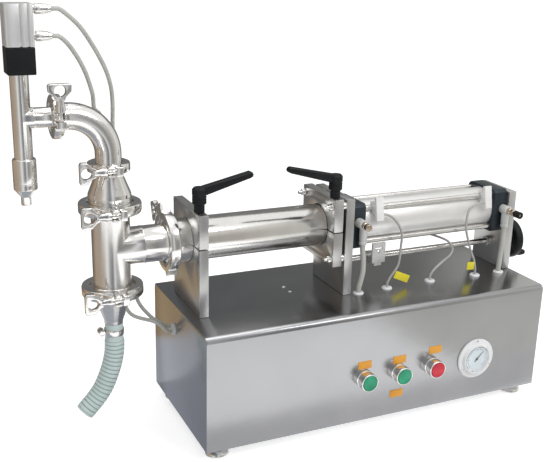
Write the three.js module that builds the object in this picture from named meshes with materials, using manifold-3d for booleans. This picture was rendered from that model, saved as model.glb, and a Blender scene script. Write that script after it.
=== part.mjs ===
// Pneumatic bench-top piston filler for liquids.
// Millimetres, +Z up, +X from the nozzle to the handwheel, -Y towards the user.
import * as THREE from "three";
import { mergeVertices } from "three/addons/utils/BufferGeometryUtils.js";
import Module from "manifold-3d";

const wasm = await Module();
wasm.setup();

// General clearances and roundness
const gap = 0.3;
const overrun = 1;
const bigSides = 28;
const middleSides = 20;
const smallSides = 14;
const tinySides = 10;
const cordSides = 8;

// Cabinet of bent sheet on four feet
const cabinetWidth = 252;
const cabinetHeight = 185;
const sheetWall = 2;
const cabinetBend = 9;
const trayHeight = 18;
const footHeight = 21;
const footRadius = 19;
const footInset = 27;
const tableTop = footHeight + cabinetHeight;

// Process line: one axis for the filling cylinder and the air cylinder
const lineSetback = 136.6;
const lineRise = 108.2;
const lineHeight = tableTop + lineRise;

// Upright plates and split clamping blocks
const postThickness = 15;
const frontPostStart = 17;
const frontPostWidth = 120.6;
const postRise = 53;
const clampSlit = 1.5;
const rearBlockStart = 244.2;
const rearBlockThickness = 16;
const rearBlockWidth = 112;
const rearBlockRise = 54.5;
const rearBlockDrop = 56.5;
const blockToPlate = 6;
const cylinderPlateWidth = 109;
const rearPlateWidth = 87.5;
const rearPlateRise = 34;

// Filling cylinder and its piston
const fillRadius = 34;
const fillWall = 2.5;
const pistonStroke = 190;
const pistonLength = 30;
const pistonFront = 14;
const rodRadius = 10;

// Air cylinder
const capSide = 76;
const frontCapLength = 30.5;
const rearCapLength = 27;
const barrelLength = 256.5;
const barrelRadius = 34.5;
const barrelWall = 3;
const tieRodOffset = 28.25;
const tieRodRadius = 4.5;

// Pipework: large and small quick-clamp ferrules
const teeRadius = 28.5;
const elbowRadius = 19;
const armRadius = 14;
const nozzleRadius = 12.7;
const pipeWall = 2;
const teeSetback = 99.5;
const teeReach = 64;
const branchReach = 87;
const reducerLength = 60;
const elbowBend = 56.3;
const elbowRise = 19;
const elbowRun = 15.5;
const nozzleArm = 46.1;
const ferruleRim = 2.85;
const ferruleSlopeShare = 0.364;
const largeFerrule = { rim: 38.75, lip: 34.6, ring: 46, half: 8, ear: 13, bolt: 4.5, wing: 54 };
const smallFerrule = { rim: 25.25, lip: 20.8, ring: 31, half: 7, ear: 12, bolt: 4, wing: 50.5 };

// Filling nozzle and its actuator
const nozzleDrop = 77.4;
const tipLength = 67;
const tipRadius = 16.3;
const outletRadius = 7.3;
const outletBore = 5;
const stemRadius = 4;
const stemLift = 10;
const actuatorSide = 37.5;
const actuatorShift = 2.2;
const adapterHeight = 36.5;
const actuatorHeight = 55.5;
const nozzleRise = 60;

// Suction hose and cords
const hoseRadius = 15.2;
const hoseRibDepth = 1.4;
const hoseBore = 12.3;
const hoseRibs = 29;
const airTubeRadius = 3;
const portTubeRadius = 4.5;
const cableRadius = 2;

// Front panel
const panelHeight = 95.8;
const firstButton = 265.4;
const buttonPitch = 63.45;
const buttonRadius = 15;
const buttonReach = 21;
const lensRadius = 12.5;
const buttonTravel = 4;
const gaugeSpacing = 88.5;
const gaugeHeight = 93;
const gaugeFlangeRadius = 35;
const gaugeDialRadius = 26;

// Stroke adjuster under the air cylinder
const screwDrop = 67.6;
const screwRadius = 5;
const wheelRadius = 36;
const carrierAdvance = 29.2;

// Places worked out from the sizes above
const frontPostEnd = frontPostStart + postThickness;
const rearBlockEnd = rearBlockStart + rearBlockThickness;
const cylinderPlateStart = rearBlockEnd + blockToPlate;
const cylinderPlateEnd = cylinderPlateStart + postThickness;
const frontCapStart = cylinderPlateEnd + gap;
const frontCapEnd = frontCapStart + frontCapLength;
const barrelStart = frontCapEnd + gap;
const barrelEnd = barrelStart + barrelLength;
const rearCapStart = barrelEnd + gap;
const rearCapEnd = rearCapStart + rearCapLength;
const rearPlateStart = rearCapEnd + gap;
const rearPlateEnd = rearPlateStart + postThickness;
const tableMargin = 0.6;
const cabinetLength = rearPlateEnd + tableMargin;
const postTop = lineHeight + postRise;
const postFoot = tableTop + gap;
const teePlace = -teeSetback;
const branchJoint = teePlace + branchReach;
const upperJoint = lineHeight + teeReach;
const lowerJoint = lineHeight - teeReach;
const reducerJoint = upperJoint + reducerLength;
const armHeight = reducerJoint + elbowRise + elbowBend;
const armJoint = teePlace - elbowBend - elbowRun;
const nozzlePlace = armJoint - nozzleArm;
const adapterFoot = armHeight + nozzleRise;
const actuatorFoot = adapterFoot + adapterHeight + gap;
const tubeEnd = armHeight - nozzleDrop;
const screwHeight = lineHeight - screwDrop;
const capFront = lineSetback - capSide / 2;
const gaugePlace = firstButton + 2 * buttonPitch + gaugeSpacing;
const carrierPlace = barrelStart + carrierAdvance;
const frontPortPlace = frontCapStart + 17.5;
const rearPortMargin = 8.2;
const rearPortPlace = rearCapEnd - rearPortMargin;

// Finishes
function finish(color, roughness, metalness) {
  return new THREE.MeshStandardMaterial({ color, roughness, metalness });
}
const brushedSteel = finish(0xb4b6b8, 0.38, 1);
const polishedSteel = finish(0xc9c7c3, 0.12, 1);
const plateSteel = finish(0xb9bbbd, 0.3, 1);
const aluminium = finish(0xc3c6c9, 0.4, 1);
const blackMetal = finish(0x202a30, 0.5, 0.3);
const blackPlastic = finish(0x15181a, 0.5, 0);
const whitePlastic = finish(0xe6e6e2, 0.5, 0);
const greyPlastic = finish(0xc8ccca, 0.4, 0);
const brass = finish(0xb08d57, 0.3, 1);
const greenLens = finish(0x1fa463, 0.3, 0);
const redLens = finish(0xe5203c, 0.3, 0);
const clearPlastic = finish(0xdfe6e8, 0.08, 0);
const hosePlastic = finish(0xc9dcd2, 0.35, 0);
const sealRubber = finish(0x2b2b2b, 0.8, 0);

// Solids from closed three.js geometries
function solid(geometry) {
  const bare = geometry.clone();
  bare.deleteAttribute("normal");
  bare.deleteAttribute("uv");
  const merged = mergeVertices(bare);
  const place = merged.attributes.position;
  const whole = [];
  let volume = 0;
  const corner = [new THREE.Vector3(), new THREE.Vector3(), new THREE.Vector3()];
  for (let i = 0; i < merged.index.count; i += 3) {
    const face = [0, 1, 2].map((k) => merged.index.getX(i + k));
    if (new Set(face).size < 3) continue;
    corner.forEach((v, k) => v.fromBufferAttribute(place, face[k]));
    volume += corner[0].dot(corner[1].clone().cross(corner[2]));
    whole.push(face);
  }
  const outward = volume < 0 ? whole.map(([a, b, c]) => [a, c, b]) : whole;
  return new wasm.Manifold(new wasm.Mesh({
    numProp: 3,
    vertProperties: new Float32Array(place.array),
    triVerts: new Uint32Array(outward.flat()),
  }));
}

// A block between its limits along X, Y and Z
function block([x0, x1], [y0, y1], [z0, z1]) {
  const box = new THREE.BoxGeometry(x1 - x0, y1 - y0, z1 - z0);
  box.translate((x0 + x1) / 2, (y0 + y1) / 2, (z0 + z1) / 2);
  return solid(box);
}

// A turned solid from [along, radius] points, about an axis through a centre
function turned(axis, points, [x, y, z], sides) {
  const outline = points.map(([along, radius]) => new THREE.Vector2(radius, along));
  if (outline[0].x > 0) outline.push(outline[0].clone());
  const lathe = new THREE.LatheGeometry(outline, sides);
  if (axis === "x") lathe.rotateZ(-Math.PI / 2);
  if (axis === "z") lathe.rotateX(Math.PI / 2);
  lathe.translate(x, y, z);
  return solid(lathe);
}

// A plain round bar between two places on its axis
function bar(axis, radius, [from, to], centre, sides) {
  return turned(axis, [[from, 0], [from, radius], [to, radius], [to, 0]], centre, sides);
}

// A flat outline in X and Z, given in real places, as thick as its limits along Y
function plateXZ(points, [y0, y1], bevel) {
  const shape = new THREE.Shape(points.map(([x, z]) => new THREE.Vector2(x, z)));
  const size = bevel ?? 0;
  const sheet = new THREE.ExtrudeGeometry(shape, {
    depth: y1 - y0 - 2 * size,
    bevelEnabled: size > 0,
    bevelThickness: size,
    bevelSize: size,
    bevelOffset: -size,
    bevelSegments: 1,
  });
  sheet.rotateX(Math.PI / 2);
  sheet.translate(0, y1 - size, 0);
  return solid(sheet);
}

function joined(...solids) {
  return solids.reduce((whole, next) => whole.add(next));
}

function cut(body, ...tools) {
  return tools.reduce((left, tool) => left.subtract(tool), body);
}

// Scene graph: rigid pieces and cords in one group
const filler = new THREE.Group();
const rigid = new THREE.Group();
const cords = new THREE.Group();
filler.add(rigid, cords);

function piece(name, body, material, home = rigid) {
  const mesh = body.getMesh();
  const shape = new THREE.BufferGeometry();
  shape.setAttribute("position", new THREE.BufferAttribute(mesh.vertProperties, 3));
  shape.setIndex(new THREE.BufferAttribute(mesh.triVerts, 1));
  shape.computeVertexNormals();
  const node = new THREE.Mesh(shape, material);
  node.name = name;
  home.add(node);
}

// Cabinet shell: top and four walls with round bends, open underneath
const grommetRadius = 9;
const grommetHeight = 3;
const glandRadius = 10;
const glandLength = 5;
const glandPlace = { y: lineSetback + 12.2, z: tableTop - 43.4 };
const pickupPlaces = {
  front: barrelStart + 21.5,
  lower: barrelStart + barrelLength * 0.537,
  rear: barrelEnd - 18.4,
};
const grommets = {
  frontTube: { x: frontPortPlace - 3.5, y: lineSetback - 54.4 },
  rearTube: { x: rearPortPlace - 7.7, y: lineSetback - 53.6 },
  frontCable: { x: pickupPlaces.front + 17.9, y: lineSetback - 51.4 },
  lowerCable: { x: pickupPlaces.lower - 10.9, y: lineSetback - 48.5 },
  rearCable: { x: pickupPlaces.rear - 20.7, y: lineSetback - 53.1 },
};

const cabinetEdge = 1;
const alongX = new THREE.Matrix4().makeBasis(
  new THREE.Vector3(0, 1, 0), new THREE.Vector3(0, 0, 1), new THREE.Vector3(1, 0, 0));

function cabinetBody(inset, bevel, [x0, x1], foot) {
  const radius = cabinetBend - inset;
  const profile = new THREE.Shape();
  profile.moveTo(inset, foot);
  profile.lineTo(cabinetWidth - inset, foot);
  profile.absarc(cabinetWidth - cabinetBend, tableTop - cabinetBend, radius, 0, Math.PI / 2);
  profile.absarc(cabinetBend, tableTop - cabinetBend, radius, Math.PI / 2, Math.PI);
  profile.closePath();
  const body = new THREE.ExtrudeGeometry(profile, {
    depth: x1 - x0 - 2 * bevel,
    curveSegments: 5,
    bevelEnabled: bevel > 0,
    bevelThickness: bevel,
    bevelSize: bevel,
    bevelOffset: -bevel,
    bevelSegments: 1,
  });
  body.translate(0, 0, x0 + bevel);
  body.applyMatrix4(alongX);
  return solid(body);
}

const buttonPlaces = [0, 1, 2].map((i) => firstButton + i * buttonPitch);
const lensWell = 7;
const buttonBack = 30;
const collarReach = 5;
const waistReach = 9;
const waistRadius = 13.4;
const lensGap = 0.4;

function bezel(x) {
  const well = lensRadius + lensGap;
  const profile = [
    [lensWell, 0],
    [lensWell, well],
    [-buttonReach, well],
    [-buttonReach, buttonRadius - lensGap],
    [-buttonReach + overrun, buttonRadius],
    [-waistReach, buttonRadius],
    [-waistReach, waistRadius],
    [-collarReach, waistRadius],
    [-collarReach, buttonRadius],
    [sheetWall / 2, buttonRadius],
    [sheetWall / 2, waistRadius],
    [buttonBack, waistRadius],
    [buttonBack, 0],
  ];
  return turned("y", profile, [x, 0, panelHeight], middleSides);
}

function lensHole(x) {
  return bar("y", lensRadius + lensGap, [-overrun, lensWell], [x, 0, panelHeight], middleSides);
}

const gaugeNeckRadius = 24;
const gaugeHole = bar("y", gaugeNeckRadius + gap, [-overrun, sheetWall + overrun],
  [gaugePlace, 0, gaugeHeight], bigSides);

function grommet({ x, y }) {
  const profile = [
    [tableTop - sheetWall, 0],
    [tableTop - sheetWall, grommetRadius],
    [tableTop + grommetHeight / 2, grommetRadius],
    [tableTop + grommetHeight, grommetRadius / 2],
    [tableTop + grommetHeight, 0],
  ];
  return turned("z", profile, [x, y, 0], smallSides);
}

const shellOutside = cabinetBody(0, cabinetEdge, [0, cabinetLength], footHeight);
const shellInside = cabinetBody(sheetWall, 0, [sheetWall, cabinetLength - sheetWall],
  footHeight - overrun);
const sideGland = bar("x", glandRadius, [-glandLength, sheetWall / 2],
  [0, glandPlace.y, glandPlace.z], smallSides);
const openShell = cut(shellOutside, shellInside, gaugeHole);
const dressedShell = joined(openShell, sideGland, ...Object.values(grommets).map(grommet));
const shellWithButtons = joined(cut(dressedShell, ...buttonPlaces.map(lensHole)),
  ...buttonPlaces.map(bezel));
piece("cabinet_shell", shellWithButtons, brushedSteel);

// Bottom tray with its upturned flanges and the four feet
function foot(x, y) {
  const padHeight = 3;
  const domeHeight = 9;
  const neckRadius = 8;
  const profile = [
    [0, 0],
    [0, footRadius - overrun],
    [overrun, footRadius],
    [padHeight, footRadius],
    [domeHeight, footRadius * 0.78],
    [domeHeight + padHeight, neckRadius],
    [footHeight + sheetWall / 2, neckRadius],
    [footHeight + sheetWall / 2, 0],
  ];
  return turned("z", profile, [x, y, 0], smallSides + 2);
}

const trayMargin = sheetWall + gap;
const tray = cut(
  block([trayMargin, cabinetLength - trayMargin], [trayMargin, cabinetWidth - trayMargin],
    [footHeight, footHeight + trayHeight]),
  block([trayMargin + sheetWall, cabinetLength - trayMargin - sheetWall],
    [trayMargin + sheetWall, cabinetWidth - trayMargin - sheetWall],
    [footHeight + sheetWall, footHeight + trayHeight + overrun]),
);
const footPlaces = [footInset, cabinetLength - footInset].flatMap((x) =>
  [footInset, cabinetWidth - footInset].map((y) => [x, y]));
piece("base_tray", joined(tray, ...footPlaces.map(([x, y]) => foot(x, y))), brushedSteel);

// Push-button caps
const buttonNames = ["start_button", "mode_button", "stop_button"];
const buttonColours = [greenLens, greenLens, redLens];
buttonPlaces.forEach((x, i) => {
  const dome = 1.5;
  const back = lensWell - buttonTravel - gap;
  const profile = [
    [back, 0],
    [back, lensRadius],
    [-buttonReach - gap, lensRadius],
    [-buttonReach - dome, lensRadius * 0.72],
    [-buttonReach - dome - gap, 0],
  ];
  piece(buttonNames[i], turned("y", profile, [x, 0, panelHeight], middleSides), buttonColours[i]);
});

// Pressure gauge: flanged case, pointer and window
const gaugeFlange = 3;
const gaugeRim = 8;
const gaugeDepth = 32;
const dialFace = 5;
const windowThickness = 1.5;
const rimWall = 2;
const pointerPin = 2;
const pointerThickness = 1;
const gaugeCentre = [gaugePlace, 0, gaugeHeight];
const caseProfile = [
  [gaugeDepth, 0],
  [gaugeDepth, gaugeNeckRadius],
  [-gap, gaugeNeckRadius],
  [-gap, gaugeFlangeRadius],
  [-gaugeFlange, gaugeFlangeRadius],
  [-gaugeFlange - gap, gaugeFlangeRadius - overrun],
  [-gaugeFlange - gap, gaugeDialRadius],
  [-gaugeRim, gaugeDialRadius],
  [-gaugeRim, gaugeDialRadius - rimWall],
  [-dialFace + pointerThickness, gaugeDialRadius - rimWall],
  [-dialFace + pointerThickness, 0],
];
piece("gauge_case", turned("y", caseProfile, gaugeCentre, bigSides), whitePlastic);

const pointerReach = 19;
const pointerTail = 6;
const pointerAngle = THREE.MathUtils.degToRad(45);
const pointerY = [-dialFace - pointerThickness / 2, -dialFace + pointerThickness / 2];
function pointerOutline() {
  const along = [Math.cos(pointerAngle), Math.sin(pointerAngle)];
  const across = [-along[1], along[0]];
  const corner = (reach, half) => [
    gaugePlace + along[0] * reach + across[0] * half,
    gaugeHeight + along[1] * reach + across[1] * half,
  ];
  return [
    corner(-pointerTail, pointerPin / 2),
    corner(-pointerTail, -pointerPin / 2),
    corner(pointerReach, -pointerThickness / 2),
    corner(pointerReach, pointerThickness / 2),
  ];
}
const pointerHub = bar("y", pointerPin, pointerY, gaugeCentre, tinySides);
piece("gauge_pointer", joined(plateXZ(pointerOutline(), pointerY), pointerHub), blackMetal);
piece("gauge_window", bar("y", gaugeDialRadius - rimWall - gap,
  [-gaugeRim, -gaugeRim + windowThickness], gaugeCentre, bigSides), clearPlastic);

// Split clamping blocks, each with a cap and a lever
const leverSetback = 39.4;
const studRadius = 3.5;
const studDepth = 26;

function splitBlock([x0, x1], width, [low, top]) {
  const y0 = lineSetback - width / 2;
  const y1 = lineSetback + width / 2;
  const bore = bar("x", fillRadius + gap, [x0 - overrun, x1 + overrun],
    [0, lineSetback, lineHeight], bigSides);
  const lower = cut(block([x0, x1], [y0, y1], [low, lineHeight - clampSlit / 2]), bore,
    bar("z", studRadius + gap, [lineHeight - studDepth, lineHeight],
      [(x0 + x1) / 2, lineSetback - leverSetback, 0], smallSides));
  const upper = cut(block([x0, x1], [y0, y1], [lineHeight + clampSlit / 2, top]), bore,
    bar("z", studRadius + gap, [lineHeight, top + overrun],
      [(x0 + x1) / 2, lineSetback - leverSetback, 0], smallSides));
  return { lower, upper };
}

// Clamping lever: skirted hub, tapered arm and threaded stud
const hubRadius = 11;
const hubSkirt = 8;
const hubHeight = 38;
const armLength = 80;
const armRise = 18;
const armRoot = 15;
const armTip = 10;
const armWidth = 13;
const armBevel = 2;

function lever(x, y, top, side) {
  const seat = top + gap;
  const hub = turned("z", [
    [lineHeight - studDepth + overrun, 0],
    [lineHeight - studDepth + overrun, studRadius],
    [seat, studRadius],
    [seat, hubSkirt],
    [seat + hubHeight / 3, hubSkirt],
    [seat + hubHeight / 3, hubRadius - overrun],
    [seat + hubHeight - armBevel, hubRadius],
    [seat + hubHeight, hubRadius - armBevel],
    [seat + hubHeight, 0],
  ], [x, y, 0], smallSides);
  const tipRise = seat + hubHeight + armRise;
  const rootTop = seat + hubHeight;
  const outline = [
    [x, rootTop - armRoot],
    [x + side * armLength, tipRise - armTip],
    [x + side * (armLength + armTip / 2), tipRise - armTip / 2],
    [x + side * armLength, tipRise],
    [x, rootTop],
  ];
  const arm = plateXZ(side > 0 ? outline : outline.reverse(), [y - armWidth / 2, y + armWidth / 2],
    armBevel);
  return joined(hub, arm);
}

const frontPost = splitBlock([frontPostStart, frontPostEnd], frontPostWidth, [postFoot, postTop]);
piece("front_post", frontPost.lower, plateSteel);
piece("front_post_cap", frontPost.upper, plateSteel);
const rearBlockTop = lineHeight + rearBlockRise;
const rearBlock = splitBlock([rearBlockStart, rearBlockEnd], rearBlockWidth,
  [lineHeight - rearBlockDrop, rearBlockTop]);
const stayInset = 7;
const stayDrop = 12;
const stayRadius = 3;
const stayNutRadius = 6;
const stayNutHeight = 7;
const stayReach = 13;
const staySpacer = 6.5;
const stayPlaces = [-1, 1].flatMap((j) => [stayDrop - rearBlockDrop, rearBlockRise - stayDrop]
  .map((rise) => [lineSetback + j * (rearBlockWidth / 2 - stayInset), lineHeight + rise]));
const stayHoles = stayPlaces.map(([y, z]) =>
  bar("x", stayRadius + gap, [rearBlockStart - overrun, rearBlockEnd + overrun], [0, y, z],
    tinySides));
piece("rear_block", cut(rearBlock.lower, ...stayHoles), plateSteel);
piece("rear_block_cap", cut(rearBlock.upper, ...stayHoles), plateSteel);
piece("front_clamp_lever", lever((frontPostStart + frontPostEnd) / 2,
  lineSetback - leverSetback, postTop, 1), blackPlastic);
piece("rear_clamp_lever", lever((rearBlockStart + rearBlockEnd) / 2,
  lineSetback - leverSetback, rearBlockTop, -1), blackPlastic);

// Cylinder plate with the four stay bolts that carry the rear block
const noseRadius = 16;
const screwSocket = 10;
function stayBolt([y, z]) {
  return joined(
    bar("x", stayRadius,
      [rearBlockStart - stayReach, cylinderPlateStart + overrun],
      [0, y, z], tinySides),
    bar("x", stayNutRadius, [rearBlockStart - gap - stayNutHeight, rearBlockStart - gap],
      [0, y, z], 6),
    bar("x", staySpacer, [rearBlockEnd + gap, cylinderPlateStart + overrun], [0, y, z], tinySides),
  );
}
const cylinderPlate = cut(
  block([cylinderPlateStart, cylinderPlateEnd],
    [lineSetback - cylinderPlateWidth / 2, lineSetback + cylinderPlateWidth / 2],
    [postFoot, postTop]),
  bar("x", noseRadius + gap, [cylinderPlateStart - overrun, cylinderPlateEnd + overrun],
    [0, lineSetback, lineHeight], middleSides),
  bar("x", screwRadius + gap, [cylinderPlateEnd - screwSocket, cylinderPlateEnd + overrun],
    [0, lineSetback, screwHeight], smallSides),
);
piece("cylinder_plate", joined(cylinderPlate, ...stayPlaces.map(stayBolt)), plateSteel);

// Rear plate behind the air cylinder
const rearPlate = cut(
  block([rearPlateStart, rearPlateEnd],
    [lineSetback - rearPlateWidth / 2, lineSetback + rearPlateWidth / 2],
    [postFoot, lineHeight + rearPlateRise]),
  bar("x", screwRadius + gap, [rearPlateStart - overrun, rearPlateEnd + overrun],
    [0, lineSetback, screwHeight], smallSides),
);
piece("rear_plate", rearPlate, plateSteel);

// Ferrule ends: half of a joint, from the joint's middle along one side
const sealHalf = 0.2;
function ferrulePoints(size, joint, side, tube) {
  const slope = (radius) => ferruleRim + (size.rim - radius) * ferruleSlopeShare;
  return [
    [joint + side * (sealHalf + slope(tube)), tube],
    [joint + side * (sealHalf + ferruleRim), size.rim],
    [joint + side * sealHalf, size.rim],
    [joint + side * sealHalf, 0],
  ];
}

function ferruledBar(axis, size, joint, side, tube, far, centre, sides) {
  return turned(axis, [[far, 0], [far, tube], ...ferrulePoints(size, joint, side, tube)],
    centre, sides);
}

// Filling cylinder
const lineCentre = [0, lineSetback, lineHeight];
const fillStart = branchJoint + sealHalf;
const fillBore = fillRadius - fillWall;
const fillCylinder = cut(
  ferruledBar("x", largeFerrule, branchJoint, 1, fillRadius, rearBlockEnd, lineCentre, bigSides),
  bar("x", fillBore, [fillStart - overrun, rearBlockEnd + overrun], lineCentre, bigSides),
);
piece("filling_cylinder", fillCylinder, polishedSteel);

// Filling piston with two lip seals, on the nose of the rod
const pistonBack = pistonFront + pistonLength;
const pistonNose = 8;
const pistonSocket = 22;
const lipWidth = 5;
const lipInset = 4;
const pistonRadius = fillBore - gap;
const pistonCore = pistonRadius - 1.2;
const pistonProfile = [
  [pistonFront, 0],
  [pistonFront, pistonCore - lipInset],
  [pistonFront + lipInset, pistonCore],
  [pistonFront + lipInset, pistonRadius],
  [pistonFront + lipInset + lipWidth, pistonRadius],
  [pistonFront + lipInset + lipWidth, pistonCore],
  [pistonBack - lipInset - lipWidth, pistonCore],
  [pistonBack - lipInset - lipWidth, pistonRadius],
  [pistonBack - lipInset, pistonRadius],
  [pistonBack - lipInset, pistonCore],
  [pistonBack, pistonCore - lipInset],
  [pistonBack, pistonNose + gap],
  [pistonBack - pistonSocket, pistonNose + gap],
  [pistonBack - pistonSocket, 0],
];
piece("filling_piston", turned("x", pistonProfile, lineCentre, middleSides), whitePlastic);

// Piston rod with the air piston at its far end
const airPistonLength = 20;
const rodNut = 8;
const airPistonStart = barrelStart + lipWidth;
const airBore = barrelRadius - barrelWall;
const rodProfile = [
  [pistonBack - pistonSocket + gap, 0],
  [pistonBack - pistonSocket + gap, pistonNose],
  [pistonBack + gap, pistonNose],
  [pistonBack + gap, rodRadius],
  [airPistonStart, rodRadius],
  [airPistonStart, airBore - gap],
  [airPistonStart + airPistonLength, airBore - gap],
  [airPistonStart + airPistonLength, rodRadius],
  [airPistonStart + airPistonLength + rodNut, rodRadius],
  [airPistonStart + airPistonLength + rodNut, 0],
];
piece("piston_rod", turned("x", rodProfile, lineCentre, bigSides), polishedSteel);

// Air cylinder: front cap with its tie rods, barrel and rear cap
const capChamfer = 5;
const rodDepth = 20;
const frontPortHeight = lineHeight + 8;
const rearPortHeight = lineHeight + 3.5;
const portBore = 5;
const portDepth = 12;
const tieRods = [-1, 1].flatMap((j) => [-1, 1].map((k) =>
  [lineSetback + j * tieRodOffset, lineHeight + k * tieRodOffset]));
const pickupHalf = 12;
const pickupDrop = 9;
const pickupFoot = 13;

function capBlock([x0, x1]) {
  const half = capSide / 2;
  const short = half - capChamfer;
  const corners = [
    [short, -half], [half, -short], [half, short], [short, half],
    [-short, half], [-half, short], [-half, -short], [-short, -half],
  ];
  const shape = new THREE.Shape(corners.map(([a, c]) => new THREE.Vector2(a, c)));
  const body = new THREE.ExtrudeGeometry(shape, { depth: x1 - x0, bevelEnabled: false });
  body.rotateY(Math.PI / 2);
  body.translate(x0, lineSetback, lineHeight);
  return solid(body);
}

const barrelCut = bar("x", barrelRadius + gap, [barrelStart - overrun, barrelEnd + overrun],
  lineCentre, bigSides);
const lowerPickup = cut(
  block([pickupPlaces.lower - pickupHalf, pickupPlaces.lower + pickupHalf],
    [lineSetback + tieRodOffset - pickupDrop, lineSetback + tieRodOffset + pickupDrop],
    [lineHeight - tieRodOffset - pickupFoot, lineHeight - tieRodOffset + pickupDrop / 2]),
  barrelCut,
);
const frontCap = cut(
  joined(capBlock([frontCapStart, frontCapEnd]),
    ...tieRods.map(([y, z]) => bar("x", tieRodRadius, [frontCapEnd - overrun, rearCapStart + rodDepth],
      [0, y, z], tinySides)),
    lowerPickup),
  bar("x", rodRadius + gap, [frontCapStart - overrun, frontCapEnd + overrun], lineCentre, bigSides),
  bar("y", portBore + gap, [capFront - overrun, capFront + portDepth],
    [frontPortPlace, 0, frontPortHeight], smallSides),
);
piece("air_front_cap", frontCap, blackMetal);
piece("air_barrel", cut(bar("x", barrelRadius, [barrelStart, barrelEnd], lineCentre, bigSides),
  bar("x", airBore, [barrelStart - overrun, barrelEnd + overrun], lineCentre, bigSides)), aluminium);
const rearCap = cut(
  capBlock([rearCapStart, rearCapEnd]),
  ...tieRods.map(([y, z]) => bar("x", tieRodRadius + gap,
    [rearCapStart - overrun, rearCapStart + rodDepth + gap], [0, y, z], tinySides)),
  bar("y", portBore + gap, [capFront - overrun, capFront + portDepth],
    [rearPortPlace, 0, rearPortHeight], smallSides),
);
piece("air_rear_cap", rearCap, blackMetal);

// Stroke pickups clipped on the upper front tie rod
const pickupWidth = 14;
const pickupTilt = 10;
const pickupTall = 39;
const pickupBody = 6;
const pickupForward = 16.95;
const pickupFace = lineSetback - tieRodOffset - pickupForward;
function strokePickup(x) {
  const [y, z] = [lineSetback - tieRodOffset, lineHeight + tieRodOffset];
  const face = block([-pickupWidth / 2, pickupWidth / 2], [-pickupBody / 2, pickupBody / 2],
    [-pickupTall / 2, pickupTall / 2]).rotate([-pickupTilt, 0, 0])
    .translate([x, pickupFace + pickupBody / 2, z]);
  const clip = block([x - pickupWidth / 2, x + pickupWidth / 2 - pickupBody],
    [pickupFace + pickupBody / 2, y + tieRodRadius],
    [z - tieRodRadius * 2, z + tieRodRadius * 2]);
  return cut(joined(face, clip), barrelCut,
    bar("x", tieRodRadius + gap, [x - pickupWidth, x + pickupWidth], [0, y, z], tinySides));
}
piece("front_pickup", strokePickup(pickupPlaces.front), whitePlastic);
piece("rear_pickup", strokePickup(pickupPlaces.rear), whitePlastic);

// Port fittings: banjo body, outlet pointing down and throttle screw in front
const banjoRadius = 8;
const banjoLength = 18;
const frontOutletDrop = 35;
const rearOutletDrop = 31;
const socketRadius = 6.5;
const screwNeck = 6;
const screwHeadReach = 16;
const knobBore = 2.5;
const knobReach = 14;
const frontOutletShift = 4;
const banjoBack = capFront - gap;
const banjoFront = banjoBack - banjoLength;

function portFitting([x, z], outletShift, outletDrop, hasKnob) {
  const centre = [x, 0, z];
  const profile = [
    [capFront + portDepth - overrun, 0],
    [capFront + portDepth - overrun, portBore],
    [banjoBack, portBore],
    [banjoBack, banjoRadius],
    [banjoFront, banjoRadius],
    [banjoFront, screwNeck],
    [banjoFront - screwHeadReach, screwNeck],
    [banjoFront - screwHeadReach, hasKnob ? knobBore : 0],
  ];
  if (hasKnob) {
    profile.push([banjoFront - screwHeadReach - knobReach, knobBore],
      [banjoFront - screwHeadReach - knobReach, 0]);
  }
  const middle = (banjoBack + banjoFront) / 2;
  return joined(turned("y", profile, centre, smallSides),
    bar("z", socketRadius, [z - outletDrop, z], [x + outletShift, middle, 0], smallSides));
}
piece("front_port_fitting", portFitting([frontPortPlace, frontPortHeight], frontOutletShift,
  frontOutletDrop, false), greyPlastic);
piece("rear_port_fitting", portFitting([rearPortPlace, rearPortHeight], 0, rearOutletDrop, true),
  greyPlastic);
const knobStart = banjoFront - screwHeadReach - gap;
piece("rear_throttle_knob", turned("y", [
  [knobStart, knobBore + gap],
  [knobStart, screwNeck],
  [knobStart - knobReach - overrun, screwNeck],
  [knobStart - knobReach - overrun, knobBore + gap],
], [rearPortPlace, 0, rearPortHeight], tinySides), blackPlastic);

// Handwheel fixed on its adjusting screw, crank knob, and the carrier that the screw moves
const screwCentre = [0, lineSetback, screwHeight];
const collarRadius = 9;
const collarLength = 7;
const screwEnd = rearPlateEnd + 22;
const adjustingScrew = turned("x", [
  [cylinderPlateEnd - screwSocket + gap, 0],
  [cylinderPlateEnd - screwSocket + gap, screwRadius],
  [rearPlateStart - gap - collarLength, screwRadius],
  [rearPlateStart - gap - collarLength, collarRadius],
  [rearPlateStart - gap, collarRadius],
  [rearPlateStart - gap, screwRadius],
  [screwEnd, screwRadius],
  [screwEnd, 0],
], screwCentre, smallSides);

const wheelHub = 11;
const wheelFace = rearPlateEnd + 37;
const wheelRim = 15;
const wheelWeb = 6;
const rimDepth = 8;
const crankOffset = 29.5;
const crankPin = 3;
const crankLength = 20;
const crankRadius = 5.5;
const crankAngle = THREE.MathUtils.degToRad(243);
const crankCentre = [0, lineSetback + Math.cos(crankAngle) * crankOffset,
  screwHeight + Math.sin(crankAngle) * crankOffset];
const wheel = turned("x", [
  [rearPlateEnd + gap, 0],
  [rearPlateEnd + gap, wheelHub],
  [wheelFace - wheelRim, wheelHub + overrun],
  [wheelFace - wheelWeb, wheelRadius - rimDepth],
  [wheelFace - wheelRim, wheelRadius - rimDepth / 2],
  [wheelFace - wheelRim / 2, wheelRadius],
  [wheelFace - overrun, wheelRadius - overrun],
  [wheelFace, wheelRadius - rimDepth / 2],
  [wheelFace, 0],
], screwCentre, bigSides);
const pinEnd = wheelFace + crankLength;
const crankStud = bar("x", crankPin, [wheelFace - overrun, pinEnd], crankCentre, tinySides);
piece("handwheel", joined(wheel, adjustingScrew, crankStud), blackPlastic);
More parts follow.
